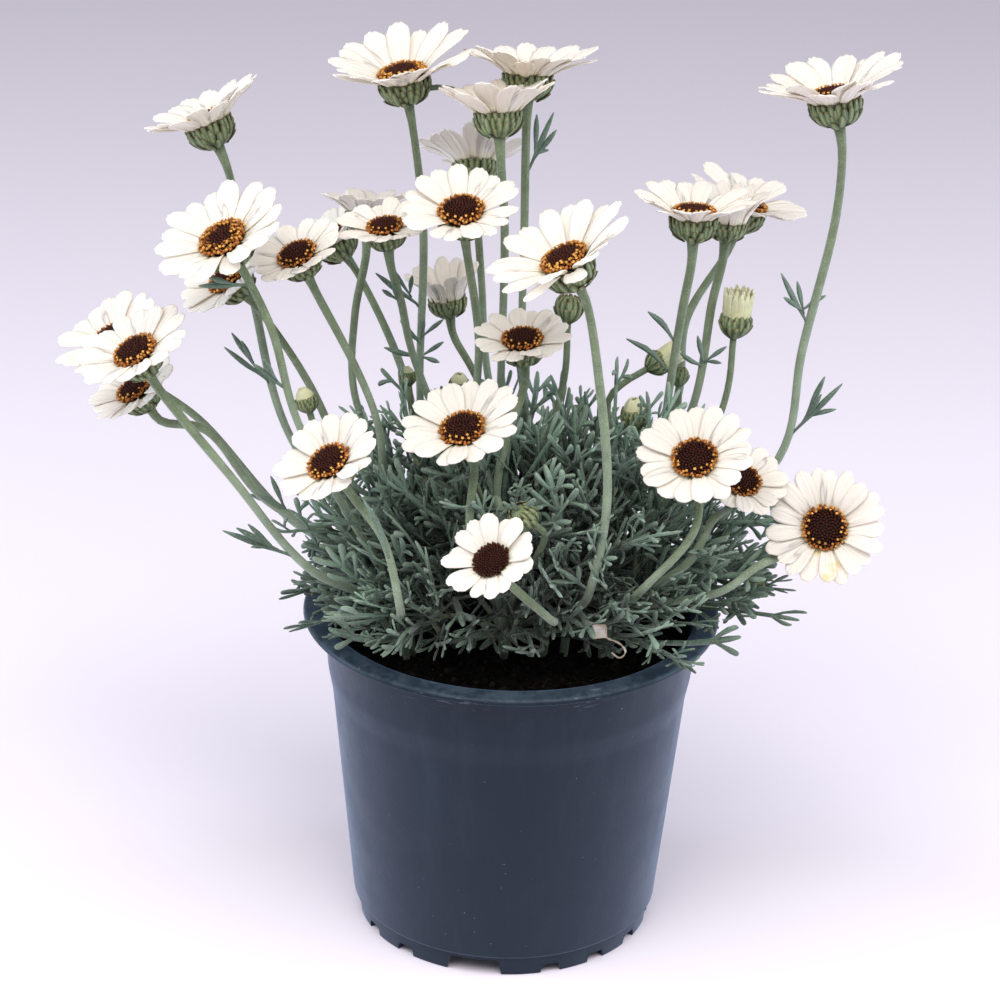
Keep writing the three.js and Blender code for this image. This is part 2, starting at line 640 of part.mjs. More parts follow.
// Clumps: the crown, the core, the stems with their cups, the buds and the leaves that grow together.
const clumpParts = {};
for (const [name, [x, y]] of Object.entries(CLUMPS)) {
  const node = "clump_" + name;
  const mine = (thing) => thing.clump === name;
  clumpParts[name] = [
    place(node, toSolid(crown(x, y, 0)), "core"),
    place(node, toSolid(clumpCore(x, y)), "core"),
    ...FLOWERS.filter(mine).map((flower) => place(node, toSolid(stemBody(flower)), "stem")),
    ...BUDS.filter(mine).map((bud) => place(node, toSolid(budBody(bud)), "stem")),
    ...STEM_LEAVES.filter((leaf) => mine(FLOWERS[leaf.flower])).map((leaf) =>
      place(node, toSolid(stemLeafBody(leaf)), "leaf")),
  ];
}
growLeaves(clumpParts);
for (const [name, parts] of Object.entries(clumpParts)) {
  addNode("clump_" + name, toGeometry(wasm.Manifold.union(parts)), "leaf");
}

export default pottedDaisy;
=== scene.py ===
# Potted Moroccan daisy: the finished plant and its nursery pot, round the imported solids.
# Lengths are in millimetres from the pot's own axis, +Z up, until a piece is made in the row frame.
import math

import bmesh
import bpy
import numpy as np
from mathutils import Matrix, Vector, noise


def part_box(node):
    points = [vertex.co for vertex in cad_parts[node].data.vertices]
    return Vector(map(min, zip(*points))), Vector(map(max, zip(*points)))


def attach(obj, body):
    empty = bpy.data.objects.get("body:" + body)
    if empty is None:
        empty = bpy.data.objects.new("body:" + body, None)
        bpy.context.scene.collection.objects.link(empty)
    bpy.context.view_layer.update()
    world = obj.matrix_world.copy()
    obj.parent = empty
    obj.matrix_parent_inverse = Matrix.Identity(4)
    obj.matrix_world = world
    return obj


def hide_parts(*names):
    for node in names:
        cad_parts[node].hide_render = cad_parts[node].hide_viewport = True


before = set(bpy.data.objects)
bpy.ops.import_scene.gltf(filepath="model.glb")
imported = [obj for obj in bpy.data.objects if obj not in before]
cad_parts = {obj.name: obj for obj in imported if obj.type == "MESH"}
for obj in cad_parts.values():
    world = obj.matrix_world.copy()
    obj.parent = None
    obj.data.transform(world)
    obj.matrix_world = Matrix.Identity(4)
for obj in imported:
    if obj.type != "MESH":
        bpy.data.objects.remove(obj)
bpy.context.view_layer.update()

MM = 0.001
pot_low, pot_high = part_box("pot")
POT_AXIS = (pot_low + pot_high) / 2
POT_AXIS.z = 0

# Driving sizes of the pot
LIP_RADIUS = 65
POT_HEIGHT = 106.5
FOOT_RADIUS = 46.5
FOOT_RING_HEIGHT = 6.5
WALL = 1.3
POT_SIDES = 180
LIP_HEIGHT = 2.4
LIP_NECK = 58.5
MOUTH_RADIUS = 57.2
COLLAR_FOOT = (57.0, 86)
WALL_TOP = (55.6, 79)
STEP_OUT = 1.9
NOTCHES_AT = [-101, 19, 139]
SMALL_NOTCHES_FROM_LARGE = [30, 50, 70, 90]
NOTCH = (17, 5.3)
SMALL_NOTCH = (6.5, 3)
DRAIN_HOLE_RADIUS = 4

# Driving sizes of the soil
SOIL_TOP = 98
SOIL_RADIUS = 55.6
CRUMBS = 1500
FIBRES = 170

# Driving sizes of the leafy cushion
CUSHION_MIDDLE = np.array([7.0, -4.0, 120.0])
CUSHION_RADIUS = 74
CUSHION_HEIGHT = 57
FRONT = math.radians(-93)
SHOOTS = 64
LEAVES_PER_SHOOT = 9
LEAF_LENGTH = 33
LEAF_PATTERNS = 14

# Where leaves stay away: low before the lip, low over the open soil at the front, and round the dried leaf
LIP_FRONT_X = (-48, 70)
LIP_FRONT_Y = -16
LIP_FRONT_HEIGHT = 115
OPEN_SOIL_X = (-34, 40)
OPEN_SOIL_Y = -20
OPEN_SOIL_SLOPE = 0.47
DRIED_LEAF_ROOM = 7

# Driving sizes of a flower
STEM_RADIUS = 1.3
CUP_RADIUS = 7.2
CUP_HEIGHT = 6.2
DISC_RADIUS = 7.0
DISC_HEIGHT = 3.2
BRIM_RADIUS = 5.7
PETAL_THICKNESS = 0.3
UPRIGHT_RAY = 10.8
USUAL_RISE = 21
USUAL_BEND = 0.4
FLORETS = 170
RIM_FLORETS = 17
FRINGE_FLORETS = 36
OPEN_TINTS = (0.85, 1.0)

# First seeds of the random draws
SEEDS = dict(soil=31, rays=200, disc=400, cup=600, bud=700, leaf=800, stem_leaf=850, shoots=900)

# Leafy clumps: where each one's crown stands in the soil
CLUMPS = {
    "front_left": (-30, -18),
    "left": (-38, 8),
    "back_left": (-24, 32),
    "middle": (-4, 8),
    "front": (-2, -21),
    "back": (10, 38),
    "front_right": (28, -18),
    "right": (38, 4),
    "back_right": (28, 30),
}

# Flowers: clump, middle of the disc, lean from upright and towards where in degrees, width, number of rays,
# and the points that the stem passes. Ripe is how far in the florets are open, rise how steeply the rays
# stand in degrees, bend how much they curve, disc the scale of the disc where the width doesn't give it,
# root where the stem stands if not in its clump's crown, and covered that the solid has no florets.
FLOWERS = [
    dict(clump="left", at=(-96.2, 26, 254.6), lean=25, toward=162, across=39, rays=17,
         rise=32, covered=True, via=[(-71, 12, 159), (-82, 34, 190), (-87, 36, 218)]),
    dict(clump="front_left", at=(-88, -15, 231), lean=31, toward=217, across=43, rays=18,
         ripe=0.95, via=[(-65, -22, 175), (-73, -18, 203)]),
    dict(clump="left", at=(-90, 17, 207), lean=41, toward=202, across=33, rays=15,
         ripe=0.7, via=[(-62, 12, 170), (-74, 14, 196)]),
    dict(clump="left", at=(-67, -4, 223), lean=27, toward=218, across=29, rays=14,
         ripe=0.35, via=[(-42, -6, 169), (-58, -4, 203)]),
    dict(clump="back_left", at=(-37, 24, 270.8), lean=12, toward=200, across=44, rays=18,
         rise=31, bend=0.35, ripe=0.8, via=[(-30, 20, 169), (-30, 32, 218)]),
    dict(clump="back", at=(1, 34, 270), lean=12, toward=86, across=42, rays=17,
         rise=31, ripe=0.6, via=[(2, 22, 169), (1, 32, 221)]),
    dict(clump="middle", at=(-8, 12, 265), lean=16, toward=107, across=36, rays=15,
         rise=38, bend=0.35, covered=True, via=[(-5, 8, 174), (-5, 14, 225)]),
    dict(clump="back", at=(-15, 66, 230), lean=36, toward=96, across=35, rays=15,
         rise=38, bend=0.6, covered=True, via=[(-8, 40, 161), (-12, 56, 193)]),
    dict(clump="back_left", at=(-60, 56, 207), lean=34, toward=180, across=32, rays=14,
         rise=30, covered=True, via=[(-35, 38, 165), (-45, 48, 188)]),
    dict(clump="middle", at=(-41, 4, 230), lean=11, toward=225, across=29, rays=15,
         disc=0.78, ripe=0.5, via=[(-32, 14, 183), (-36, 10, 203)]),
    dict(clump="front", at=(-18, -10, 240), lean=20, toward=250, across=36, rays=17,
         ripe=0.5, via=[(-4, -28, 150), (-12, -10, 166), (-12, 0, 195)]),
    dict(clump="front", root=(16, -21), at=(12, -38, 236), lean=27, toward=198, across=44, rays=18,
         rise=27, ripe=0.75, via=[(23, -50, 136), (27, -48, 164), (23, -42, 203)]),
    dict(clump="back", at=(-23, 40, 195), lean=11, toward=165, across=22, rays=13,
         disc=0.78, rise=68, covered=True, via=[(-14, 34, 171)]),
    dict(clump="front", at=(1, -12, 201), lean=11, toward=244, across=30, rays=16,
         ripe=0.35, via=[(-5, -24, 161), (3, -14, 184)]),
    dict(clump="front", at=(-16, -42, 184), lean=25, toward=236, across=36, rays=17,
         via=[(-13, -48, 155), (-19, -44, 171)]),
    dict(clump="front_left", root=(-31, -23), at=(-55, -48, 175), lean=33, toward=218, across=34, rays=16,
         ripe=0.45, via=[(-33, -58, 133), (-38, -54, 152)]),
    dict(clump="front", root=(10, -20), at=(-7, -72, 156), lean=40, toward=234, across=28, rays=16,
         disc=0.78, ripe=0, via=[(11, -62, 132), (2, -68, 145)]),
    dict(clump="front_left", at=(-114, -20, 197), lean=29, toward=213, across=36, rays=16,
         ripe=0.45, via=[(-61, -34, 133), (-85, -26, 159)]),
    dict(clump="left", at=(-128, 34, 179), lean=31, toward=209, across=36, rays=15,
         covered=True, via=[(-70, 20, 124), (-99, 26, 155)]),
    dict(clump="left", at=(-117, 2, 176), lean=34, toward=202, across=30, rays=14,
         ripe=0.5, via=[(-78, 4, 139), (-95, 2, 162)]),
    dict(clump="right", at=(51, 0, 238), lean=4, toward=90, across=36, rays=16,
         rise=31, ripe=0.6, via=[(46, 2, 176), (49, 0, 206)]),
    dict(clump="back_right", at=(70, 54, 222), lean=15, toward=0, across=38, rays=16,
         via=[(50, 24, 167), (52, 34, 189), (60, 44, 205)]),
    dict(clump="right", at=(91, 10, 272), lean=13, toward=156, across=44, rays=18,
         rise=30, ripe=0.5, via=[(81, 0, 159), (86, 4, 192), (94, 8, 234)]),
    dict(clump="front_right", at=(52, -46, 178), lean=34, toward=254, across=35, rays=17,
         via=[(38, -50, 136), (53, -46, 154)]),
    dict(clump="front_right", at=(68, -26, 163), lean=30, toward=295, across=28, rays=14,
         ripe=0.25, via=[(53, -38, 141), (59, -32, 151)]),
    dict(clump="front_right", at=(93, -30, 149), lean=51, toward=263, across=37, rays=21,
         via=[(63, -40, 132), (74, -36, 139)]),
    dict(clump="back_left", at=(-48, 40, 223), lean=15, toward=95, across=29, rays=14,
         rise=33, covered=True, via=[(-50, 22, 165), (-51, 34, 188)]),
    dict(clump="back_right", at=(63, 26, 228), lean=4, toward=24, across=23, rays=14,
         disc=0.82, rise=66, covered=True, via=[(54, 10, 170), (59, 18, 202)]),
]

# The flower with a withered ray, and the middle of the dried leaf
WITHERED_RAY_ON = 25
DRIED_LEAF_AT = (28, -58, 123)

# Buds: the clump, the middle, the width and the points that the stalk passes; a tuft is how far its
# young rays stand out, as a share of half its width
BUDS = [
    dict(clump="middle", at=(15, 8, 202), across=8, via=[(14, 4, 179)]),
    dict(clump="right", at=(66, 12, 198), across=9.6, via=[(64, 10, 173)], tuft=1.15),
    dict(clump="right", at=(43, 14, 183), across=7.4, via=[(28, 8, 172), (32, 10, 177)], tuft=1.15),
    dict(clump="back_right", at=(50, 20, 176), across=5.6, via=[(50, 18, 167)]),
    dict(clump="right", at=(36, -4, 173), across=8.4, via=[(37, -4, 165)], tuft=0.3),
    dict(clump="front", at=(3, -50, 159), across=7.9, via=[(9, -46, 152)]),
    dict(clump="back_left", at=(-34, 24, 172), across=5.0, via=[(-33, 22, 165)], tuft=0.3),
    dict(clump="left", at=(-64, 0, 173), across=6.6, via=[(-62, 0, 166)], tuft=0.35),
    dict(clump="back_left", at=(-18, 26, 169), across=6.2, via=[(-18, 27, 161)], tuft=0.3),
    dict(clump="front_right", at=(74, -20, 124), across=6.1, via=[(68, -20, 119)]),
]

# Low shoots that lean out over the lip: direction in degrees, reach, height and climb of their ends
LOW_SHOOTS = [
    (160, 44, 119, 0.25), (175, 44, 118, 0.15), (188, 44, 116, 0.1), (199, 45, 117, 0.2), (211, 46, 115, 0.1),
    (224, 46, 116, 0.15), (240, 47, 119, 0.6), (272, 43, 122, 0.9), (286, 45, 122, 0.8), (300, 47, 121, 0.7),
    (338, 56, 117, 0.15), (352, 58, 117, 0.1), (4, 58, 118, 0.1), (18, 56, 118, 0.1),
]

# Leaves on the flower stems: the flower, the height of the joint, and the way from it to each lobe's tip
STEM_LEAVES = [
    (0, 170, [(-14, -4, 14), (-12, -2, 18), (-9, -3, 16)]),
    (1, 185, [(-10, -3, 10), (-7, -4, 12)]),
    (1, 214, [(-15, -4, 1), (-12, -5, 4)]),
    (4, 193, [(-14, -3, 13), (-10, 1, 14), (-3, -4, 13)]),
    (4, 182, [(-6, -4, 11), (1, -4, 12), (7, -2, 11)]),
    (4, 179, [(-11, 2, 3), (7, 3, 5), (6, -4, 1)]),
    (4, 264, [(14, -4, 5)]),
    (5, 236, [(8, 2, 20), (9, 1, 15), (3, 0, 20), (7, 3, 8)]),
    (9, 200, [(-3, -5, 10), (-6, -4, 7)]),
    (11, 136, [(-10, -6, 10), (-4, -9, 12), (-12, -5, 5)]),
    (13, 171, [(-7, -4, 12), (-9, -3, 7)]),
    (14, 166, [(-7, -3, 0)]),
    (15, 146, [(-8, -4, 22)]),
    (17, 136, [(-22, -3, 10), (-18, -5, 12), (-15, 0, 11), (-14, -3, 5)]),
    (19, 130, [(-13, -4, 12), (-9, -2, 16), (-16, 2, 8)]),
    (20, 194, [(-9, -4, 12)]),
    (20, 184, [(-14, -4, 13)]),
    (22, 165, [(15, -2, 19), (10, 1, 20), (9, -3, 16), (14, 0, 10)]),
    (22, 199, [(-9, -2, 18), (-4, 0, 15), (-8, -3, 11), (5, 2, 10)]),
    (27, 182, [(-7, -3, 7), (-2, -4, 13), (7, -2, 9), (6, 2, 2)]),
]

MARKS = ("along", "across", "tint")
GOLDEN_ANGLE = math.pi * (3 - math.sqrt(5))
UP = np.array([0.0, 0.0, 1.0])


# Parts: points in millimetres, three-sided faces, and three marks a point that the finishes read
def part(points, faces, along=0.0, across=0.0, tint=0.0):
    points = np.asarray(points, float).reshape(-1, 3)
    marks = np.zeros((len(points), 3))
    for column, values in enumerate((along, across, tint)):
        marks[:, column] = np.asarray(values).ravel() if np.ndim(values) else values
    return points, np.asarray(faces, int).reshape(-1, 3), marks


def joined(parts):
    starts = np.cumsum([0] + [len(points) for points, _, _ in parts[:-1]])
    points = np.concatenate([p[0] for p in parts])
    faces = np.concatenate([p[1] + start for p, start in zip(parts, starts)])
    marks = np.concatenate([p[2] for p in parts])
    return points, faces, marks


def placed(a_part, matrix, tint=None):
    points, faces, marks = a_part
    turned = points @ matrix[:3, :3].T + matrix[:3, 3]
    if tint is not None:
        marks = marks.copy()
        marks[:, 2] = tint
    return turned, faces, marks


def copies(a_part, matrices, tints):
    points, faces, marks = a_part
    matrices = np.array(matrices)
    count = len(matrices)
    turned = np.einsum("nij,pj->npi", matrices[:, :3, :3], points) + matrices[:, None, :3, 3]
    all_faces = faces[None] + (np.arange(count) * len(points))[:, None, None]
    all_marks = np.repeat(marks[None], count, axis=0)
    all_marks[:, :, 2] = np.asarray(tints)[:, None]
    return turned.reshape(-1, 3), all_faces.reshape(-1, 3), all_marks.reshape(-1, 3)


def axes_matrix(side, ahead, up, origin):
    matrix = np.eye(4)
    matrix[:3] = np.stack([side, ahead, up, origin], axis=1)
    return matrix


def draws(kind, number=0):
    return np.random.default_rng(SEEDS[kind] + number)


def outward(angle):
    return np.array([math.cos(angle), math.sin(angle), 0.0])


def jittered(k, count, jitter, random, shift=0.0):
    """The angle of one of count places round a circle, each a little off its even spacing."""
    return 2 * math.pi * (k + shift + random.uniform(-jitter, jitter)) / count


def unit(vector):
    vector = np.asarray(vector, float)
    return vector / max(np.linalg.norm(vector), 1e-9)


def leaning_axes(ahead, up):
    ahead = unit(ahead)
    side = unit(np.cross(ahead, up))
    return side, ahead, np.cross(side, ahead)


def turned_about(vector, axis, angle):
    axis = unit(axis)
    return (vector * math.cos(angle) + np.cross(axis, vector) * math.sin(angle)
            + axis * np.dot(axis, vector) * (1 - math.cos(angle)))


def make_piece(name, parts, finish, stands_for=()):
    points, faces, marks = joined(parts)
    mesh = bpy.data.meshes.new(name)
    mesh.vertices.add(len(points))
    in_frame = points * MM + np.array(POT_AXIS)
    mesh.vertices.foreach_set("co", in_frame.astype(np.float32).ravel())
    mesh.loops.add(3 * len(faces))
    mesh.loops.foreach_set("vertex_index", faces.astype(np.int32).ravel())
    mesh.polygons.add(len(faces))
    mesh.polygons.foreach_set("loop_start", np.arange(0, 3 * len(faces), 3, dtype=np.int32))
    mesh.update(calc_edges=True)
    mesh.shade_smooth()
    for column, mark in enumerate(MARKS):
        layer = mesh.attributes.new(mark, "FLOAT", "POINT")
        layer.data.foreach_set("value", marks[:, column].astype(np.float32))
    mesh.materials.append(finish)
    dress(new_object(name, mesh), stands_for)


def new_object(name, data):
    made = bpy.data.objects.new(name, data)
    bpy.context.scene.collection.objects.link(made)
    return made


def dress(piece, stands_for):
    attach(piece, "root")
    if stands_for:
        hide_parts(*stands_for)


# Closed bodies
def ring_of(radius, height, sides, shift=0.0):
    angles = 2 * math.pi * (np.arange(sides) + shift) / sides
    return np.stack([radius * np.cos(angles), radius * np.sin(angles), np.full(sides, float(height))], axis=1)


def stacked(*blocks):
    return np.concatenate([np.stack(np.broadcast_arrays(*block), axis=1) for block in blocks])


def ring_walls(rings, sides):
    """The faces between rings of points, which follow each other upwards or inwards."""
    i = np.arange(sides)
    after = (i + 1) % sides
    starts = sides * np.arange(rings - 1)[:, None]
    a, b = (starts + i).ravel(), (starts + after).ravel()
    return i, after, stacked((a, b, b + sides), (a, b + sides, a + sides))


def ring_faces(rings, sides):
    """Faces of a closed body of rings, which are followed by the point of its foot and that of its top."""
    i, after, walls = ring_walls(rings, sides)
    last = (rings - 1) * sides
    foot = rings * sides
    return np.concatenate([walls, stacked((foot, after, i), (foot + 1, last + i, last + after))])


def ring_body(levels, sides, foot, top, along=None):
    """A body of level rings, each a radius and a height; along marks each ring, the foot and the top."""
    rings = [ring_of(radius, height, sides) for radius, height in levels]
    points = np.concatenate([*rings, [(0, 0, foot), (0, 0, top)]])
    marks = np.repeat(along, [sides] * len(levels) + [1, 1]) if along else 0.0
    return part(points, ring_faces(len(levels), sides), marks)


def tube(centres, radii, sides, ribs=0.0, along=None, tint=0.0):
    """A round body along a line of centres, with as many flat ribs as half its sides."""
    centres = np.asarray(centres, float)
    rings = len(centres)
    ways = np.gradient(centres, axis=0)
    ways /= np.linalg.norm(ways, axis=1)[:, None]
    right = unit(np.cross(ways[0], (0.31, 0.87, 0.38)))
    angles = np.arange(sides) * 2 * math.pi / sides
    ribbing = np.cos(angles * sides / 2)
    points = []
    for centre, way, radius in zip(centres, ways, radii):
        right = unit(right - way * np.dot(way, right))
        spokes = np.cos(angles)[:, None] * right + np.sin(angles)[:, None] * np.cross(way, right)
        points.append(centre + (radius * (1 + ribs * ribbing))[:, None] * spokes)
    points = np.concatenate(points + [centres[:1], centres[-1:]])
    if along is None:
        along = np.linspace(0, 1, rings)
    marks = np.concatenate([np.repeat(along, sides), [along[0], along[-1]]])
    around = np.concatenate([np.tile(ribbing, rings), [0, 0]])
    return part(points, ring_faces(rings, sides), marks, around, tint)


def grid(shares, columns):
    """How far along and how far across, from -1 to 1, each point of a sheet lies."""
    return np.meshgrid(shares, np.linspace(-1, 1, columns), indexing="ij")


def turned_to(azimuth, points):
    return points @ np.array(Matrix.Rotation(azimuth, 3, "Z")).T


def lobe(centres, side, up, half_widths, half_depths, along):
    """A blunt flattened finger through centres, which are at least three points."""
    centres = np.asarray(centres, float)
    rings = len(centres)
    widths = np.asarray(half_widths)[:, None]
    depths = np.asarray(half_depths)[:, None]
    offsets = [side * widths, up * depths, -side * widths, -up * depths]
    ring_points = np.stack([centres + offset for offset in offsets], axis=1)
    tip = centres[-1] + (centres[-1] - centres[-2]) * 0.18
    points = np.concatenate([ring_points.reshape(-1, 3), [tip]])
    faces = []
    for ring in range(rings - 1):
        for i in range(4):
            a, b = 4 * ring + i, 4 * ring + (i + 1) % 4
            faces += [(a, a + 4, b + 4), (a, b + 4, b)]
    last = 4 * (rings - 1)
    for i in range(4):
        faces.append((last + i, 4 * rings, last + (i + 1) % 4))
    faces += [(0, 1, 2), (0, 2, 3)]
    across = np.concatenate([np.tile([1.0, 0.0, -1.0, 0.0], rings), [0.0]])
    return part(points, faces, np.concatenate([np.repeat(along, 4), [1.0]]), across)


def sheet(top, thickness, along, across, tint=0.0):
    """A thin closed body under a grid of points, rows by columns."""
    rows, columns, _ = top.shape
    normals = np.cross(np.gradient(top, axis=1), np.gradient(top, axis=0))
    normals /= np.maximum(np.linalg.norm(normals, axis=2), 1e-9)[:, :, None]
    bottom = top - normals * thickness
    count = rows * columns
    index = np.arange(count).reshape(rows, columns)
    a, b = index[:-1, :-1].ravel(), index[:-1, 1:].ravel()
    c, d = index[1:, 1:].ravel(), index[1:, :-1].ravel()
    faces = stacked((a, b, c), (a, c, d))
    under = faces[:, ::-1] + count
    rim = np.concatenate([index[0, :-1], index[:-1, -1], index[-1, :0:-1], index[:0:-1, 0]])
    after = np.roll(rim, -1)
    wall = stacked((rim, rim + count, after + count), (rim, after + count, after))
    points = np.concatenate([top.reshape(-1, 3), bottom.reshape(-1, 3)])
    marks = (np.tile(values.ravel(), 2) for values in (along, across))
    return part(points, np.concatenate([faces, under, wall]), *marks, tint)


def curve_points(knots, count):
    """Points on a smooth centripetal curve through the knots."""
    knots = np.asarray(knots, float)
    first = 2 * knots[0] - knots[1]
    last = 2 * knots[-1] - knots[-2]
    padded = np.concatenate([[first], knots, [last]])
    spans = len(knots) - 1
    fine = []
    for share in np.linspace(0, spans, 24 * spans + 1):
        span = min(int(share), spans - 1)
        t = share - span
        p0, p1, p2, p3 = padded[span:span + 4]
        steps = np.linalg.norm(np.diff(padded[span:span + 4], axis=0), axis=1)
        d0, d1, d2 = np.maximum(steps, 1e-3) ** 0.5
        m1 = ((p1 - p0) / d0 - (p2 - p0) / (d0 + d1) + (p2 - p1) / d1) * d1
        m2 = ((p2 - p1) / d1 - (p3 - p1) / (d1 + d2) + (p3 - p2) / d2) * d1
        square = 3 * (p2 - p1) - 2 * m1 - m2
        cube = 2 * (p1 - p2) + m1 + m2
        fine.append(p1 + m1 * t + square * t ** 2 + cube * t ** 3)
    fine = np.array(fine)
    travelled = np.concatenate([[0], np.cumsum(np.linalg.norm(np.diff(fine, axis=0), axis=1))])
    wanted = np.linspace(0, travelled[-1], count)
    return np.stack([np.interp(wanted, travelled, fine[:, axis]) for axis in range(3)], axis=1)


# Finishes, with the depth of a fine relief
RELIEF = 0.2 * MM


class Nodes:
    """A tree of shader nodes, which makes and joins its own nodes."""

    def __init__(self, tree):
        self.tree = tree

    def put(self, value, socket):
        """Link a node's output to the socket, or set the socket's own value."""
        if isinstance(value, bpy.types.NodeSocket):
            self.tree.links.new(value, socket)
        elif socket.type == "RGBA":
            socket.default_value = (*value, 1.0)
        else:
            socket.default_value = value

    def add(self, kind, inputs=None, **settings):
        made = self.tree.nodes.new(kind)
        for name, value in settings.items():
            setattr(made, name, value)
        for key, value in (inputs or {}).items():
            self.put(value, made.inputs[key])
        return made

    def position(self):
        return self.add("ShaderNodeTexCoord").outputs["Object"]

    def noise(self, scale, detail=3.0, roughness=0.55, distortion=0.0, vector=None):
        inputs = {"Scale": scale, "Detail": detail, "Roughness": roughness, "Distortion": distortion}
        inputs["Vector"] = vector or self.position()
        return self.add("ShaderNodeTexNoise", inputs).outputs["Fac"]

    def mark(self, name):
        return self.add("ShaderNodeAttribute", attribute_name=name).outputs["Fac"]

    def off_middle(self):
        return self.math("ABSOLUTE", self.mark("across"))

    def math(self, operation, a, b=0.0, c=0.0, clamp=False):
        inputs = {0: a, 1: b, 2: c}
        return self.add("ShaderNodeMath", inputs, operation=operation, use_clamp=clamp).outputs[0]

    def times(self, a, b, clamp=False):
        return self.math("MULTIPLY", a, b, clamp=clamp)

    def spread(self, value, low, high, to_low=0.0, to_high=1.0):
        inputs = {"Value": value, "From Min": low, "From Max": high, "To Min": to_low, "To Max": to_high}
        return self.add("ShaderNodeMapRange", inputs, interpolation_type="SMOOTHSTEP").outputs["Result"]

    def blend(self, factor, a, b, how="MIX"):
        inputs = {0: factor, 6: a, 7: b}
        return self.add("ShaderNodeMix", inputs, data_type="RGBA", blend_type=how).outputs[2]

    def use(self, group, **inputs):
        made = self.add("ShaderNodeGroup", node_tree=group)
        for label, value in inputs.items():
            self.put(value, made.inputs[label])
        return made.outputs

    def mottle(self, base, amount, scale):
        return self.use(MOTTLE, Colour=base, Amount=amount, Scale=scale)["Colour"]


class Finish(Nodes):
    """A material with one Principled shader, whose plain values are given by name."""

    def __init__(self, name, **plain):
        self.material = bpy.data.materials.new(name)
        self.material.use_nodes = True
        super().__init__(self.material.node_tree)
        self.tree.nodes.clear()
        values = {label.replace("_", " "): value for label, value in plain.items()}
        shader = self.add("ShaderNodeBsdfPrincipled", values)
        self.add("ShaderNodeOutputMaterial", {"Surface": shader.outputs[0]})
        self.shader = shader.inputs

    def paint(self, base):
        self.put(base, self.shader["Base Color"])

    def bump(self, height, distance, strength):
        inputs = {"Height": height, "Distance": distance, "Strength": strength}
        self.put(self.add("ShaderNodeBump", inputs).outputs[0], self.shader["Normal"])

    def felt(self, base, fuzz, size, strength):
        felted = self.use(FELT, Colour=base, Fuzz=fuzz, Size=size)
        self.paint(felted["Colour"])
        self.bump(felted["Height"], RELIEF, strength)


def new_group(name, inputs, outputs):
    """A group of nodes, with what it is given and what it has to hand out."""
    tree = bpy.data.node_groups.new(name, "ShaderNodeTree")
    for way, labels in (("INPUT", inputs), ("OUTPUT", outputs)):
        for label in labels:
            kind = "NodeSocketColor" if label == "Colour" else "NodeSocketFloat"
            tree.interface.new_socket(label, in_out=way, socket_type=kind)
    nodes = Nodes(tree)
    return nodes, nodes.add("NodeGroupInput").outputs, nodes.add("NodeGroupOutput").inputs


def felt_group():
    """Short pressed hairs: a fine pale fuzz over a colour, and the height of the hairs."""
    nodes, given, wanted = new_group("felt", ["Colour", "Fuzz", "Size"], ["Colour", "Height"])
    inputs = {0: nodes.position(), "Scale": given["Size"]}
    scaled = nodes.add("ShaderNodeVectorMath", inputs, operation="SCALE").outputs[0]
    fine = nodes.noise(2600.0, 2.0, 0.6, vector=scaled)
    patches = nodes.noise(240.0, 2.0, 0.5, vector=scaled)
    mask = nodes.times(nodes.spread(fine, 0.42, 0.68), nodes.spread(patches, 0.3, 0.7, 0.35, 1.0))
    amount = nodes.times(mask, given["Fuzz"], clamp=True)
    pale = nodes.blend(0.6, given["Colour"], (0.57, 0.68, 0.57))
    nodes.put(nodes.blend(amount, given["Colour"], pale), wanted["Colour"])
    nodes.put(fine, wanted["Height"])
    return nodes.tree


def mottle_group():
    """Soft lighter and darker patches in a colour."""
    nodes, given, wanted = new_group("mottle", ["Colour", "Amount", "Scale"], ["Colour"])
    shade = nodes.spread(nodes.noise(given["Scale"], 3.0, 0.6), 0.3, 0.7, -1.0, 1.0)
    level = nodes.math("MULTIPLY_ADD", shade, given["Amount"], 1.0)
    grey = nodes.add("ShaderNodeCombineColor", {0: level, 1: level, 2: level}).outputs[0]
    nodes.put(nodes.blend(1.0, given["Colour"], grey, "MULTIPLY"), wanted["Colour"])
    return nodes.tree


def dust_group():
    """Dust that settles on faces that look up."""
    nodes, given, wanted = new_group("settled_dust", ["Amount", "Scale"], ["Mask"])
    normal = nodes.add("ShaderNodeNewGeometry").outputs["Normal"]
    up = nodes.add("ShaderNodeSeparateXYZ", {0: normal}).outputs["Z"]
    patches = nodes.spread(nodes.noise(given["Scale"], 4.0, 0.65), 0.35, 0.65, 0.25, 1.0)
    mask = nodes.times(nodes.spread(up, 0.15, 0.85), patches)
    nodes.put(nodes.times(mask, given["Amount"], clamp=True), wanted["Mask"])
    return nodes.tree


FELT = felt_group()
MOTTLE = mottle_group()
DUST = dust_group()


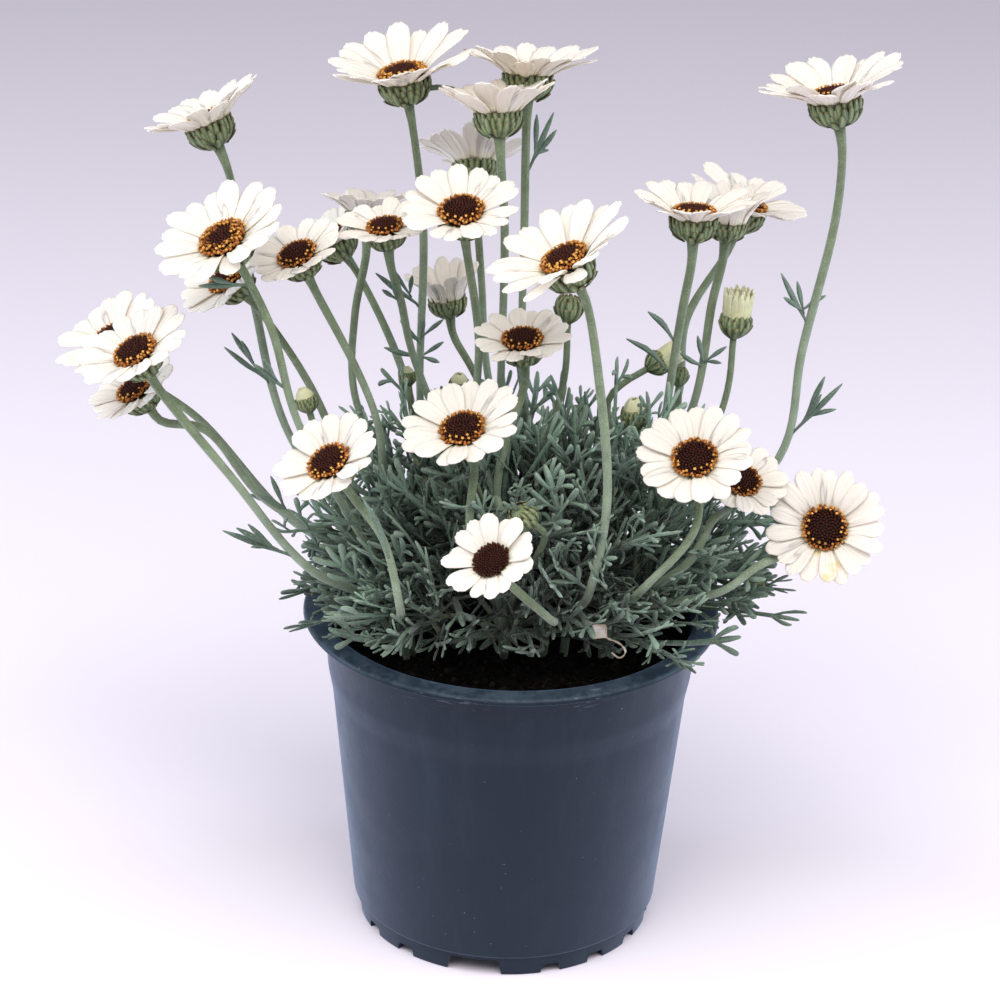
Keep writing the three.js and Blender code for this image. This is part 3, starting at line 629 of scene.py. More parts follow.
def pot_finish():
    """Blue-black plastic with a faint film, settled dust, and a lip that is scratched and rubbed pale."""
    look = Finish("moulded_pot_plastic", Specular_IOR_Level=0.3, Specular_Tint=(0.70, 0.85, 1.0),
                  Sheen_Weight=0.38, Sheen_Roughness=0.40, Sheen_Tint=(0.40, 0.61, 0.96))
    base = look.mottle((0.0045, 0.0085, 0.0165), 0.10, 28.0)
    where = look.position()
    drawn = look.add("ShaderNodeMapping", {"Vector": where, "Scale": (1.0, 1.0, 0.2)}).outputs[0]
    film = look.spread(look.noise(90.0, 5.0, 0.7, vector=drawn), 0.45, 0.8, 0.0, 0.10)
    filmed = look.blend(film, base, (0.07, 0.095, 0.125))
    dust = look.use(DUST, Amount=0.5, Scale=240.0)["Mask"]
    dusty = look.blend(dust, filmed, (0.085, 0.120, 0.145))
    height = look.add("ShaderNodeSeparateXYZ", {0: where}).outputs["Z"]
    below_top = look.spread(height, (POT_HEIGHT - 2) * MM, (POT_HEIGHT - 0.3) * MM, 1, 0.25)
    on_lip = look.spread(height, (POT_HEIGHT - 10) * MM, (POT_HEIGHT - 3.5) * MM)
    near_lip = look.times(on_lip, below_top)
    turned = look.add("ShaderNodeMapping", {"Vector": where, "Scale": (0.16, 0.16, 1.7)}).outputs[0]
    scratches = look.spread(look.noise(1000.0, 4.0, 0.6, 0.4, turned), 0.58, 0.67)
    worn = look.times(scratches, look.spread(look.noise(45.0, 2.0, 0.5), 0.44, 0.62))
    rubbed = look.times(look.times(worn, near_lip), 0.7)
    specks = look.times(look.spread(look.noise(900.0, 2.0, 0.5), 0.76, 0.79), 0.4)
    look.paint(look.blend(look.math("MAXIMUM", rubbed, specks), dusty, (0.36, 0.41, 0.46)))
    roughness = look.spread(look.noise(90.0, 5.0, 0.65), 0.3, 0.7, 0.33, 0.44)
    look.put(look.math("ADD", roughness, look.times(dust, 0.3), clamp=True), look.shader["Roughness"])
    look.bump(look.noise(700.0, 3.0, 0.6), RELIEF, 0.2)
    return look.material


def soil_finish():
    look = Finish("damp_peat", Roughness=0.95, Specular_IOR_Level=0.1)
    shade = look.blend(look.mark("tint"), (0.002, 0.0018, 0.0016), (0.020, 0.015, 0.011))
    specks = look.spread(look.noise(1500.0, 2.0, 0.5), 0.73, 0.78, 0.0, 0.3)
    look.paint(look.blend(specks, look.mottle(shade, 0.5, 420.0), (0.30, 0.25, 0.18)))
    look.bump(look.noise(1400.0, 4.0, 0.7), 0.0006, 0.8)
    return look.material


def leaf_finish():
    """Grey-green felt, dark deep in the cushion and low down, as painted shade and as older, barer leaves;
    paler on the rib and at the tip.
    """
    look = Finish("felted_grey_leaf", Roughness=0.8, Specular_IOR_Level=0.25, Sheen_Weight=0.25,
                  Sheen_Roughness=0.45)
    tint = look.mark("tint")
    # painted shade: the tint mark blends from near black deep in the cushion and low down to the lit
    # grey-green at its skin
    young = look.blend(tint, (0.007, 0.022, 0.010), (0.175, 0.285, 0.202))
    tip = look.spread(look.mark("along"), 0.86, 1.0, 0.0, 0.5)
    tipped = look.blend(look.times(tip, tint), young, (0.30, 0.36, 0.28))
    rib = look.spread(look.off_middle(), 0.0, 0.45, 0.3, 0.0)
    ribbed = look.blend(look.times(rib, tint), tipped, (0.27, 0.36, 0.285))
    look.felt(look.mottle(ribbed, 0.16, 190.0), 0.5, 1.0, 0.5)
    return look.material


def stem_finish():
    look = Finish("felted_stem", Roughness=0.75, Specular_IOR_Level=0.3, Sheen_Weight=0.4,
                  Sheen_Roughness=0.4)
    along = look.mark("along")
    # painted shade: the stem is darker low down, where it runs inside the foliage
    shaded_lower_stem = look.blend(look.spread(along, 0.1, 0.45), (0.10, 0.145, 0.095), (0.25, 0.315, 0.23))
    green = look.blend(look.spread(along, 0.4, 0.9), shaded_lower_stem, (0.13, 0.17, 0.085))
    groove = look.spread(look.mark("across"), -1.0, 0.6, 0.35, 0.0)
    grooved = look.blend(groove, green, (0.15, 0.21, 0.11))
    look.felt(look.mottle(grooved, 0.14, 150.0), 0.6, 1.3, 0.7)
    return look.material


def bract_finish():
    look = Finish("brown_edged_bract", Roughness=0.7, Specular_IOR_Level=0.3)
    out = look.off_middle()
    keel = look.blend(look.spread(out, 0.0, 0.55), (0.24, 0.30, 0.145), (0.11, 0.155, 0.065))
    edge = look.spread(look.math("ADD", out, look.times(look.noise(900.0), 0.25)), 0.78, 1.05)
    edged = look.blend(look.times(edge, 0.85), keel, (0.045, 0.026, 0.016))
    fringe = look.spread(look.mark("along"), 0.8, 1.0, 0.0, 0.55)
    fringed = look.blend(fringe, edged, (0.23, 0.17, 0.07))
    look.felt(look.mottle(fringed, 0.2, 300.0), 0.35, 1.2, 0.5)
    return look.material


def petal_finish():
    """White, cream at the root, with faint lines along the ray and yellow patches where it withers."""
    look = Finish("white_ray", Roughness=0.55, Specular_IOR_Level=0.3, Subsurface_Weight=0.5,
                  Subsurface_Radius=(1.0, 0.93, 0.84), Subsurface_Scale=0.0015)
    along, across, tint = (look.mark(name) for name in MARKS)
    root = look.spread(along, 0.0, 0.3, 0.7, 0.0)
    cream = look.blend(root, (0.84, 0.768, 0.668), (0.80, 0.72, 0.42))
    lines = look.math("SINE", look.times(across, 15.0))
    faint = look.times(look.spread(lines, 0.2, 1.0), look.spread(along, 0.0, 0.9, 0.10, 0.05))
    veined = look.blend(faint, cream, (0.60, 0.56, 0.50))
    patches = look.spread(look.noise(150.0, 4.0, 0.6), 0.42, 0.6)
    withered = look.times(look.spread(tint, 0.85, 1.0), patches)
    aged = look.blend(look.times(withered, 0.6), veined, (0.72, 0.52, 0.16))
    look.paint(look.mottle(aged, 0.03, 120.0))
    look.bump(look.math("ADD", look.times(lines, 0.5), look.noise(500.0)), 0.00015, 0.5)
    return look.material


def young_ray_finish():
    look = Finish("cream_young_ray", Roughness=0.6, Specular_IOR_Level=0.3)
    cream = look.blend(look.mark("along"), (0.48, 0.50, 0.24), (0.82, 0.79, 0.62))
    edge = look.spread(look.off_middle(), 0.5, 1.0, 0.0, 0.35)
    look.paint(look.mottle(look.blend(edge, cream, (0.85, 0.83, 0.68)), 0.1, 300.0))
    look.bump(look.noise(700.0), RELIEF, 0.5)
    return look.material


def floret_finish():
    """From dark maroon where the florets are closed, over russet, to orange where they are open."""
    look = Finish("disc_floret", Roughness=0.7, Specular_IOR_Level=0.2)
    along, tint = look.mark("along"), look.mark("tint")
    closed = look.blend(along, (0.012, 0.003, 0.002), (0.058, 0.012, 0.005))
    opening = look.blend(along, (0.15, 0.035, 0.008), (0.46, 0.17, 0.035))
    opened = look.blend(along, (0.34, 0.10, 0.012), (0.86, 0.43, 0.10))
    outer = look.blend(look.spread(tint, 0.15, 0.6), closed, opening)
    ripe = look.blend(look.spread(tint, 0.7, 0.95), outer, opened)
    look.paint(look.mottle(ripe, 0.3, 700.0))
    look.bump(look.noise(2500.0), RELIEF, 0.5)
    return look.material


def dry_leaf_finish():
    look = Finish("dried_leaf", Roughness=0.8)
    patches = look.spread(look.noise(260.0, 4.0, 0.65), 0.35, 0.65)
    tan = look.blend(patches, (0.36, 0.32, 0.25), (0.60, 0.57, 0.50))
    rim = look.spread(look.off_middle(), 0.6, 1.0, 0.0, 0.6)
    look.paint(look.blend(rim, tan, (0.25, 0.16, 0.09)))
    look.bump(look.noise(900.0, 4.0, 0.7), 0.0004, 0.8)
    return look.material


def floor_finish():
    look = Finish("pale_paper_floor", Roughness=0.7, Specular_IOR_Level=0.25)
    look.paint(look.mottle((0.88, 0.815, 0.895), 0.006, 3.0))
    return look.material


LEAF = leaf_finish()
STEM = stem_finish()
BRACT = bract_finish()
PETAL = petal_finish()
FLORET = floret_finish()


# The pot
def rounded_profile(corners):
    """Radius and height points with each corner rounded by its own reach."""
    found = []
    for i, (r, z, reach) in enumerate(corners):
        here = np.array([r, z], float)
        if reach == 0 or i in (0, len(corners) - 1):
            found.append(here)
            continue
        before, after = np.array(corners[i - 1][:2], float), np.array(corners[i + 1][:2], float)
        first = here + unit(before - here) * min(reach, np.linalg.norm(before - here) * 0.45)
        last = here + unit(after - here) * min(reach, np.linalg.norm(after - here) * 0.45)
        for t in np.linspace(0, 1, 5):
            found.append(first * (1 - t) ** 2 + here * 2 * t * (1 - t) + last * t ** 2)
    return found


def nursery_pot():
    """The pot, turned from its profile, with its notches and drain holes cut."""
    lip_foot = POT_HEIGHT - LIP_HEIGHT
    floor_under, floor_top = FOOT_RING_HEIGHT - 0.8, FOOT_RING_HEIGHT + 1
    profile = rounded_profile([
        (0, floor_under, 0),
        (FOOT_RADIUS - 2.4, floor_under, 0.5),
        (FOOT_RADIUS - 2.4, 0, 0.4),
        (FOOT_RADIUS, 0, 0.5),
        (FOOT_RADIUS + 0.6, FOOT_RING_HEIGHT, 0.4),
        (FOOT_RADIUS + STEP_OUT, FOOT_RING_HEIGHT + 0.6, 0.6),
        (*WALL_TOP, 1.5),
        (*COLLAR_FOOT, 1.5),
        (LIP_NECK, lip_foot, 0.7),
        (LIP_RADIUS, lip_foot, 0.7),
        (LIP_RADIUS - 0.6, POT_HEIGHT - 0.5, 1.3),
        (MOUTH_RADIUS + 1.4, POT_HEIGHT, 1.2),
        (MOUTH_RADIUS, POT_HEIGHT - 2, 0.8),
        (COLLAR_FOOT[0] - WALL, COLLAR_FOOT[1], 1.5),
        (WALL_TOP[0] - WALL, WALL_TOP[1], 1.5),
        (FOOT_RADIUS + STEP_OUT - WALL, floor_top, 1.0),
        (0, floor_top, 0),
    ])
    shape = bmesh.new()
    columns = []
    for i in range(POT_SIDES):
        angle = 2 * math.pi * i / POT_SIDES
        columns.append([shape.verts.new(outward(angle) * r + UP * z) for r, z in profile])
    for i, column in enumerate(columns):
        following = columns[(i + 1) % POT_SIDES]
        for low in range(len(profile) - 1):
            shape.faces.new((column[low], following[low], following[low + 1], column[low + 1]))
    bmesh.ops.remove_doubles(shape, verts=shape.verts, dist=1e-4)
    bmesh.ops.recalc_face_normals(shape, faces=shape.faces)
    pot = object_from(shape, "nursery_pot")
    cutters = bmesh.new()
    for degrees in NOTCHES_AT:
        add_notch(cutters, degrees, *NOTCH)
        add_drain_hole(cutters, degrees + 60, 30)
        for further in SMALL_NOTCHES_FROM_LARGE:
            add_notch(cutters, degrees + further, *SMALL_NOTCH)
    add_drain_hole(cutters, 0, 0)
    bmesh.ops.recalc_face_normals(cutters, faces=cutters.faces)
    cutter = object_from(cutters, "pot_cutters")
    modifier = pot.modifiers.new("cut", "BOOLEAN")
    modifier.operation = "DIFFERENCE"
    modifier.solver = "EXACT"
    modifier.object = cutter
    bpy.context.view_layer.update()
    cut_pot = pot.evaluated_get(bpy.context.evaluated_depsgraph_get())
    cut_mesh = bpy.data.meshes.new_from_object(cut_pot)
    pot.modifiers.clear()
    pot.data = cut_mesh
    bpy.data.objects.remove(cutter)
    pot.data.transform(Matrix.Translation(POT_AXIS) @ Matrix.Scale(MM, 4))
    crease_sharp_edges(pot.data, 32)
    pot.data.materials.clear()
    pot.data.materials.append(pot_finish())
    dress(pot, ["pot"])


def object_from(shape, name):
    mesh = bpy.data.meshes.new(name)
    shape.to_mesh(mesh)
    shape.free()
    return new_object(name, mesh)


def crease_sharp_edges(mesh, degrees):
    shape = bmesh.new()
    shape.from_mesh(mesh)
    bmesh.ops.triangulate(shape, faces=[face for face in shape.faces if len(face.verts) > 4])
    for face in shape.faces:
        face.smooth = True
    for edge in shape.edges:
        edge.smooth = len(edge.link_faces) == 2 and edge.calc_face_angle(0) < math.radians(degrees)
    shape.to_mesh(mesh)
    shape.free()


def add_notch(cutters, degrees, width, height):
    """A block that cuts an arch with rounded upper corners through the foot ring."""
    corner = min(1.6, 0.45 * height)
    outline = [(-0.53 * width, -2.0), (0.53 * width, -2.0)]
    for sign in (1, -1):
        for step in range(5):
            angle = math.radians(22.5 * step if sign > 0 else 90 - 22.5 * step)
            outline.append((sign * (0.47 * width - corner + corner * math.cos(angle)),
                            height - corner + corner * math.sin(angle)))
    turn = Matrix.Rotation(math.radians(degrees), 4, "Z")
    rings = []
    for radius in (FOOT_RADIUS - 8, FOOT_RADIUS + 5):
        rings.append([cutters.verts.new(turn @ Vector((radius, y, z))) for y, z in outline])
    cutters.faces.new(rings[0][::-1])
    cutters.faces.new(rings[1])
    for i in range(len(outline)):
        j = (i + 1) % len(outline)
        cutters.faces.new((rings[0][i], rings[0][j], rings[1][j], rings[1][i]))


def add_drain_hole(cutters, degrees, from_axis):
    turn = Matrix.Rotation(math.radians(degrees), 4, "Z")
    place = turn @ Matrix.Translation((from_axis, 0, FOOT_RING_HEIGHT))
    bmesh.ops.create_cone(cutters, cap_ends=True, segments=32, radius1=DRAIN_HOLE_RADIUS,
                          radius2=DRAIN_HOLE_RADIUS, depth=12, matrix=place)


# The soil
def soil_height(x, y):
    lumps = noise.fractal(Vector((x, y, 3.1)) / 13, 0.7, 2.1, 5) * 2.2
    return SOIL_TOP + 0.4 + lumps * max(0.25, min(1.0, (SOIL_RADIUS - math.hypot(x, y)) / 6))


def wall_inside(height):
    slope = (WALL_TOP[0] - FOOT_RADIUS - STEP_OUT) / (WALL_TOP[1] - FOOT_RING_HEIGHT)
    return FOOT_RADIUS + STEP_OUT - WALL + (height - FOOT_RING_HEIGHT) * slope - 0.6


def root_ball():
    """The soil: rings of a lumpy top, from the wall inwards, and a smooth body down to the pot's floor."""
    sides, rings = 150, 56
    foot_height = FOOT_RING_HEIGHT + 1.8
    tops = [ring_of(SOIL_RADIUS * (1 - k / rings), 0, sides, 0.5 * (k % 2)) for k in range(rings)]
    points = np.concatenate([*tops, np.zeros((1, 3))])
    points[:, 2] = [soil_height(x, y) for x, y, _ in points]
    points[:sides, 2] -= 1.2
    i, after, walls = ring_walls(rings, sides)
    last = (rings - 1) * sides
    faces = [walls, stacked((last + i, last + after, rings * sides))]
    above = 0
    for height in (COLLAR_FOOT[1], WALL_TOP[1], 40, foot_height):
        start = len(points)
        radius = min(wall_inside(height), SOIL_RADIUS - 0.9)
        points = np.concatenate([points, ring_of(radius, height, sides)])
        corner = start + after
        faces.append(stacked((above + i, start + i, corner), (above + i, corner, above + after)))
        above = start
    faces.append(stacked((len(points), above + after, above + i)))
    points = np.concatenate([points, [(0, 0, foot_height)]])
    return part(points, np.concatenate(faces), tint=0.15)


def crumb_body():
    shape = bmesh.new()
    bmesh.ops.create_icosphere(shape, subdivisions=1, radius=1)
    points = [tuple(vertex.co) for vertex in shape.verts]
    faces = [[vertex.index for vertex in face.verts] for face in shape.faces]
    shape.free()
    return part(points, faces)


def spot_on_soil(random, inset):
    radius = (SOIL_RADIUS - inset) * math.sqrt(random.random())
    x, y, _ = radius * outward(random.uniform(0, 2 * math.pi))
    return x, y


def crumbs(random):
    matrices = []
    tints = []
    for _ in range(CRUMBS):
        x, y = spot_on_soil(random, 2.5)
        size = 0.35 + 1.1 * random.random() ** 2.5
        turn = Matrix(np.linalg.qr(random.normal(size=(3, 3)))[0].tolist()).to_4x4()
        stretch = Matrix.Diagonal((*(size * random.uniform(0.6, 1.3, 3)), 1))
        place = Matrix.Translation((x, y, soil_height(x, y) + 0.35 * size))
        matrix = np.array(place @ turn @ stretch)
        if np.linalg.det(matrix[:3, :3]) < 0:
            matrix[:3, 0] *= -1
        matrices.append(matrix)
        tints.append(random.random() ** 2 * (1.0 if size > 0.6 else 1.6))
    return copies(crumb_body(), matrices, tints)


def fibre(random):
    x, y = spot_on_soil(random, 7)
    heading = random.uniform(0, 2 * math.pi)
    length = random.uniform(3, 9)
    knots = []
    for _ in range(4):
        knots.append((x, y, soil_height(x, y) + 0.3 + 0.5 * random.random()))
        heading += random.uniform(-0.7, 0.7)
        x += length / 3 * math.cos(heading)
        y += length / 3 * math.sin(heading)
    return tube(knots, np.array([0.16, 0.22, 0.2, 0.1]), 4, tint=random.uniform(0.6, 2.4))


def make_soil():
    random = draws("soil")
    parts = [root_ball(), crumbs(random)] + [fibre(random) for _ in range(FIBRES)]
    make_piece("peat_soil", parts, soil_finish(), ["soil"])


# The flowers
def flower_frame(flower):
    """The place of a flower's own frame, whose axis leans as the bloom does."""
    tilt, turn = math.radians(flower["lean"]), math.radians(flower["toward"])
    face = Vector(outward(turn) * math.sin(tilt) + UP * math.cos(tilt))
    turned = Vector(UP).rotation_difference(face).to_matrix().to_4x4()
    origin = Vector(flower["at"]) - face * DISC_HEIGHT
    return np.array(Matrix.Translation(origin) @ turned)


def on_axis(flower, height):
    return (flower_frame(flower) @ np.array([0, 0, height, 1.0]))[:3]


def size_of(flower):
    """The scale of a flower's cup and disc, from its width."""
    return flower.get("disc", min(1.05, 0.45 + 0.014 * flower["across"]))


def stance(flower):
    """How steeply the rays stand, in degrees, and how much they curve, in radians."""
    return flower.get("rise", USUAL_RISE), flower.get("bend", USUAL_BEND)


def closedness(flower):
    """From 0 where the rays leave the cup low to 1 where they stand upright on its brim."""
    rise, bend = stance(flower)
    steepest = rise + math.degrees(bend) / 2
    return min(1.0, max(0.0, (steepest - 30) / 40))


def ray(azimuth, root, length, width, rise, bend, twist, random, tint):
    """One ray: a pleated blade with a blunt, faintly toothed tip, in the flower's own frame."""
    t, u = grid([0, 0.1, 0.23, 0.38, 0.53, 0.67, 0.79, 0.88, 0.95, 1.0], 11)
    tip = np.clip((t - 0.7) / 0.3, 0, 1)
    teeth = 0.03 * np.exp(-((np.abs(u + random.uniform(-0.1, 0.1)) - 0.36) / 0.13) ** 2)
    teeth *= random.uniform(0.3, 1.4)
    reach = t - tip ** 2 * 0.11 * np.abs(u) ** 3 - tip ** 3 * teeth
    half = width / 2 * (0.42 + 0.58 * np.sin(np.clip(t / 0.74, 0, 1) * math.pi / 2) ** 1.1)
    side = half * (1 - 0.25 * tip ** 2.4) * u
    out = root[0] + length * reach * np.cos(rise + bend * (0.5 - reach))
    up = root[1] + length * (reach * np.sin(rise) + bend * 0.5 * reach * (1 - reach))
    pleat = 0.028 * width * np.cos(3 * math.pi * u) * np.clip(t * 3, 0, 1) * (1 - 0.4 * tip)
    cupped = width * (0.10 * (1 - t) - 0.04 * t) * u ** 2
    ripple = 0.2 * np.sin(t * 5 + random.uniform(0, 6)) * u * t
    lift = up + pleat + cupped + ripple + side * twist * t
    points = turned_to(azimuth, np.stack([out, side, lift], axis=2))
    return sheet(points, -PETAL_THICKNESS, t, u, tint)


def corolla(flower, number):
    """The rays of a flower in two layers, each ray with its own length, width, rise, bend and twist."""
    random = draws("rays", number)
    rays = flower["rays"]
    size = size_of(flower)
    closed = closedness(flower)
    steepness, bend = stance(flower)
    rise = math.radians(steepness)
    root = np.array([BRIM_RADIUS + 0.8 * closed, 0.35 - 0.3 * closed]) * size
    length = (flower["across"] / 2 - root[0]) / math.cos(rise - bend / 2)
    if steepness > 60:
        length = UPRIGHT_RAY
    width = 2 * math.pi * (root[0] + 0.6 * length * math.cos(rise)) / rays * 1.38
    turn = random.uniform(0, 2 * math.pi)
    parts = []
    for k in range(rays):
        azimuth = turn + jittered(k, rays, 0.2, random)
        layer = 0.55 if k % 2 else 0.0
        tint = 0.3 * random.random()
        if number == WITHERED_RAY_ON and math.cos(azimuth + math.pi / 2) > 0.9:
            tint = 1.0
        parts.append(ray(azimuth, root + (0, layer), length * random.uniform(0.9, 1.06),
                         width * random.uniform(0.88, 1.1), rise + random.normal() * 0.07,
                         bend + random.uniform(-0.28, 0.28), random.normal() * 0.12, random, tint))
    return parts


def closed_floret():
    return ring_body([(0.36, -0.5), (0.5, 0.45)], 5, -0.6, 1.0, (0.0, 0.55, 0.0, 1.0))


def open_floret():
    sides = 10
    star = np.where(np.arange(sides) % 2, 0.42, 0.86)
    return ring_body([(0.33, -0.4), (0.38, 0.9), (star, 1.25)], sides, -0.4, 0.95, (0.0, 0.6, 1.0, 0.0, 0.7))


def disc_bed(radius, size):
    """The dome under the florets, and the floor of the cup that it stands on."""
    levels = ((0.6, 0.3), (0.9, 1.2), (0.8, 2.5), (0.45, 3.2))
    levels = [(radius * share, height * size) for share, height in levels]
    return ring_body(levels, 24, 0.3 * size, 3.3 * size)


def disc(flower, number):
    """The florets in their spiral on a dome: closed and dark in the middle, open and bright at the rim."""
    random = draws("disc", number)
    ripe = flower.get("ripe", 0.4)
    size = size_of(flower)
    shut = closedness(flower)
    radius = DISC_RADIUS * size * (1 - 0.2 * shut)
    closed, opened = [], []

    def seat(angle, share, scale, lean, raised=0.0):
        dome = math.sqrt(max(0, 1 - (share * 0.93) ** 2))
        height = 1.25 + (DISC_HEIGHT - 0.7) * dome - 0.5 * (1 - share) ** 2
        out = outward(angle)
        up = unit(out * lean + UP + random.normal(size=3) * 0.07)
        side, ahead, up = leaning_axes(np.cross(up, out + (0.01, 0.02, 0)), up)
        place = out * radius * share
        place[2] = (height + raised) * size
        return axes_matrix(side * scale, ahead * scale, up * scale, place)

    bright_from = 1 - 0.55 * ripe ** 1.5
    for k in range(FLORETS):
        share = math.sqrt((k + 0.5) / FLORETS)
        angle = k * GOLDEN_ANGLE
        bright = ripe and share > bright_from
        if bright and random.random() < 0.34:
            seated = seat(angle, share, 0.64 * size, 0.15 + 0.6 * share ** 2, 0.5)
            opened.append((seated, random.uniform(*OPEN_TINTS)))
            continue
        warmth = 0.06 + 0.6 * max(0, (share - 0.74) / 0.26) + (0.4 * ripe if bright else 0)
        warmth = min(warmth, 0.62) if ripe else 0.04
        scale = 0.92 * size * random.uniform(0.85, 1.12)
        seated = seat(angle, share, scale, 0.15 + 0.75 * share ** 2)
        closed.append((seated, warmth * random.uniform(0.7, 1.1)))
    rim = int(RIM_FLORETS * size) if ripe else 0
    for k in range(rim):
        angle = jittered(k, rim, 0.3, random)
        share = random.uniform(0.70, 0.84)
        seated = seat(angle, share, random.uniform(0.58, 0.74) * size, 0.5, 0.5)
        opened.append((seated, random.uniform(*OPEN_TINTS)))
    fringe = int(FRINGE_FLORETS * size)
    for k in range(fringe):
        angle = jittered(k, fringe, 0.3, random)
        share = random.uniform(0.88, 1.03) - 0.12 * shut
        seated = seat(angle, share, random.uniform(0.9, 1.25) * size, 0.9, 0.3)
        closed.append((seated, random.uniform(0.5, 0.68) if ripe else 0.2))
    parts = [copies(closed_floret(), *zip(*closed))]
    if opened:
        parts.append(copies(open_floret(), *zip(*opened)))
    return parts + [disc_bed(radius, size)]


# Cups, buds and stems
def bract(size, foot, tip, width, lift, cup_radius_at, thickness):
    """One scale on a cup, in the plane of its own middle; foot and tip are levels on the cup."""
    t, u = grid(np.linspace(0, 1, 6), 4)
    level = foot + (tip - foot) * t
    narrowing = np.clip((1.03 - t) * 3.4, 0.25, 1) ** 0.6
    half = width / 2 * (0.75 + 0.25 * np.sin(t * math.pi)) * narrowing
    reach = cup_radius_at(level) + lift * (0.3 + 0.7 * t) + 0.10 * width * (1 - u ** 2)
    angle = half * u / np.maximum(reach, 0.2 * width)
    points = np.stack([reach * np.cos(angle), reach * np.sin(angle), level], axis=2) * size
    return sheet(points, -thickness, t, u)


def scales(rows, size, cup_radius_at, random, thickness=0.4):
    """Rows of overlapping scales: each row's count, levels of foot and tip, width, and lift off the cup."""
    parts = []
    for count, foot, tip, width, lift in rows:
        turn = random.uniform(0, 2 * math.pi)
        one = bract(size, foot, tip, width, lift, cup_radius_at, thickness)
        matrices = []
        for k in range(count):
            angle = turn + jittered(k, count, 0.15, random)
            grown = Matrix.Scale(random.uniform(0.96, 1.06), 4)
            matrices.append(np.array(Matrix.Rotation(angle, 4, "Z") @ grown))
        parts.append(copies(one, matrices, random.random(count)))
    return joined(parts)


def cup_radius(level):
    share = np.clip((level + CUP_HEIGHT) / CUP_HEIGHT, 0.015, 1)
    return 1.6 + (CUP_RADIUS - 1.9) * np.sin(share * math.pi / 2) ** 0.42 + 0.2 * np.clip(level, 0, 2)


def turned_body(levels, radii, sides=20):
    centres = [(0, 0, level) for level in levels]
    return tube(centres, radii, sides, along=np.linspace(0, 0.7, len(levels)))


def cup(flower, number):
    random = draws("cup", number)
    size = size_of(flower)
    rows = [(23, -3.6, 1.0, 2.0, 0.05), (21, -4.8, -0.5, 2.1, 0.3), (17, -5.9, -2.2, 2.2, 0.5),
            (11, -6.4, -4.0, 2.1, 0.75)]
    levels = np.linspace(-CUP_HEIGHT, 0.55, 9)
    body = turned_body(levels * size, (cup_radius(levels) - 0.3) * size)
    return placed(joined([body, scales(rows, size, cup_radius, random)]), flower_frame(flower))


def root_of(spec):
    """Where a stem stands in the soil, and the next point that it passes."""
    x, y = spec.get("root", CLUMPS[spec["clump"]])
    return [(x, y, SOIL_TOP - 3), (x * 1.1, y * 1.1, SOIL_TOP + 14)]


def flower_stem(flower):
    count = 46
    share = np.linspace(0, 1, count)
    radii = STEM_RADIUS * (0.97 + 0.05 * np.sin(share * 11 + flower["across"]))
    radii = radii + 0.75 * np.clip((share - 0.93) / 0.07, 0, 1) ** 2
    return tube(stem_path(flower, count), radii, 12, ribs=0.05, along=share)


def bud(spec, number):
    """A bud on its stalk: the green stalk, the scales, and the young rays of a riper one."""
    random = draws("bud", number)
    middle, below = np.array(spec["at"], float), np.array(spec["via"][-1], float)
    axis = unit(middle - below)
    half = spec["across"] / 2
    tuft_height = spec.get("tuft", 0)
    closing, fullness = (0.98, 0.5) if tuft_height else (0.84, 0.6)
    knots = root_of(spec) + spec["via"] + [tuple(middle - axis * half * 0.9)]
    stalk = tube(curve_points(knots, 30), np.full(30, STEM_RADIUS * 0.8), 10, ribs=0.05)
    side, ahead, up = leaning_axes(np.cross(axis, (0.3, 0.9, 0.2)), axis)
    frame_of_bud = axes_matrix(side, ahead, up, middle)

    def radius_at(level):
        share = np.clip((level + 1) / 2, 0.02, 1.0)
        return 0.88 * np.sin(np.minimum(share * math.pi * closing, math.pi - 0.12)) ** fullness

    if tuft_height:
        rows = [(16, -0.5, 0.55, 0.40, 0.05), (15, -0.75, 0.25, 0.42, 0.11), (12, -1.0, -0.15, 0.44, 0.15)]
        levels = np.linspace(-1, 0.35, 9)
    else:
        rows = [(13, -0.3, 1.0, 0.44, 0.06), (13, -0.7, 0.72, 0.5, 0.12), (12, -0.95, 0.2, 0.52, 0.17)]
        levels = np.linspace(-1, 0.92, 9)
    body = turned_body(levels * half, (radius_at(levels) - 0.05) * half, 14)
    knob = placed(joined([body, scales(rows, half, radius_at, random, 0.3)]), frame_of_bud)
    crest = []
    for ring, count in ((0, 14), (1, 9)) if tuft_height else ():
        for k in range(count):
            azimuth = jittered(k, count, 0.15, random, 0.5 * ring)
            young = young_ray(azimuth, half, tuft_height, 0.80 - 0.3 * ring, random)
            crest.append(placed(young, frame_of_bud))
    return stalk, knob, crest


def young_ray(azimuth, half, height, out_share, random):
    """A ray of a bud that stands upright; a low one bends in over the middle."""
    drawn_in = 0.8 if height < 0.6 else 0.0
    t, u = grid(np.linspace(0, 1, 7), 5)
    out = half * (out_share * (1 - drawn_in * t ** 2) + 0.10 * np.sin(t * math.pi * 0.8) + 0.07 * t ** 3)
    side = half * 0.25 * u * np.sqrt(np.clip(1.08 - t ** 4, 0.05, 1))
    lift = half * (0.05 + (0.9 + height) * random.uniform(0.9, 1.05) * t * (1 - 0.08 * u ** 2 * t ** 2))
    points = turned_to(azimuth, np.stack([out - 0.07 * half * u ** 2, side, lift], axis=2))
    return sheet(points, -0.3, 0.12 + 0.35 * t, u, 0.1)


# The leaves
LOBE_SHARES = np.array([0.0, 0.34, 0.7, 0.9, 0.98])
LOBE_WIDTHS = np.array([0.66, 0.68, 1.0, 0.92, 0.56])


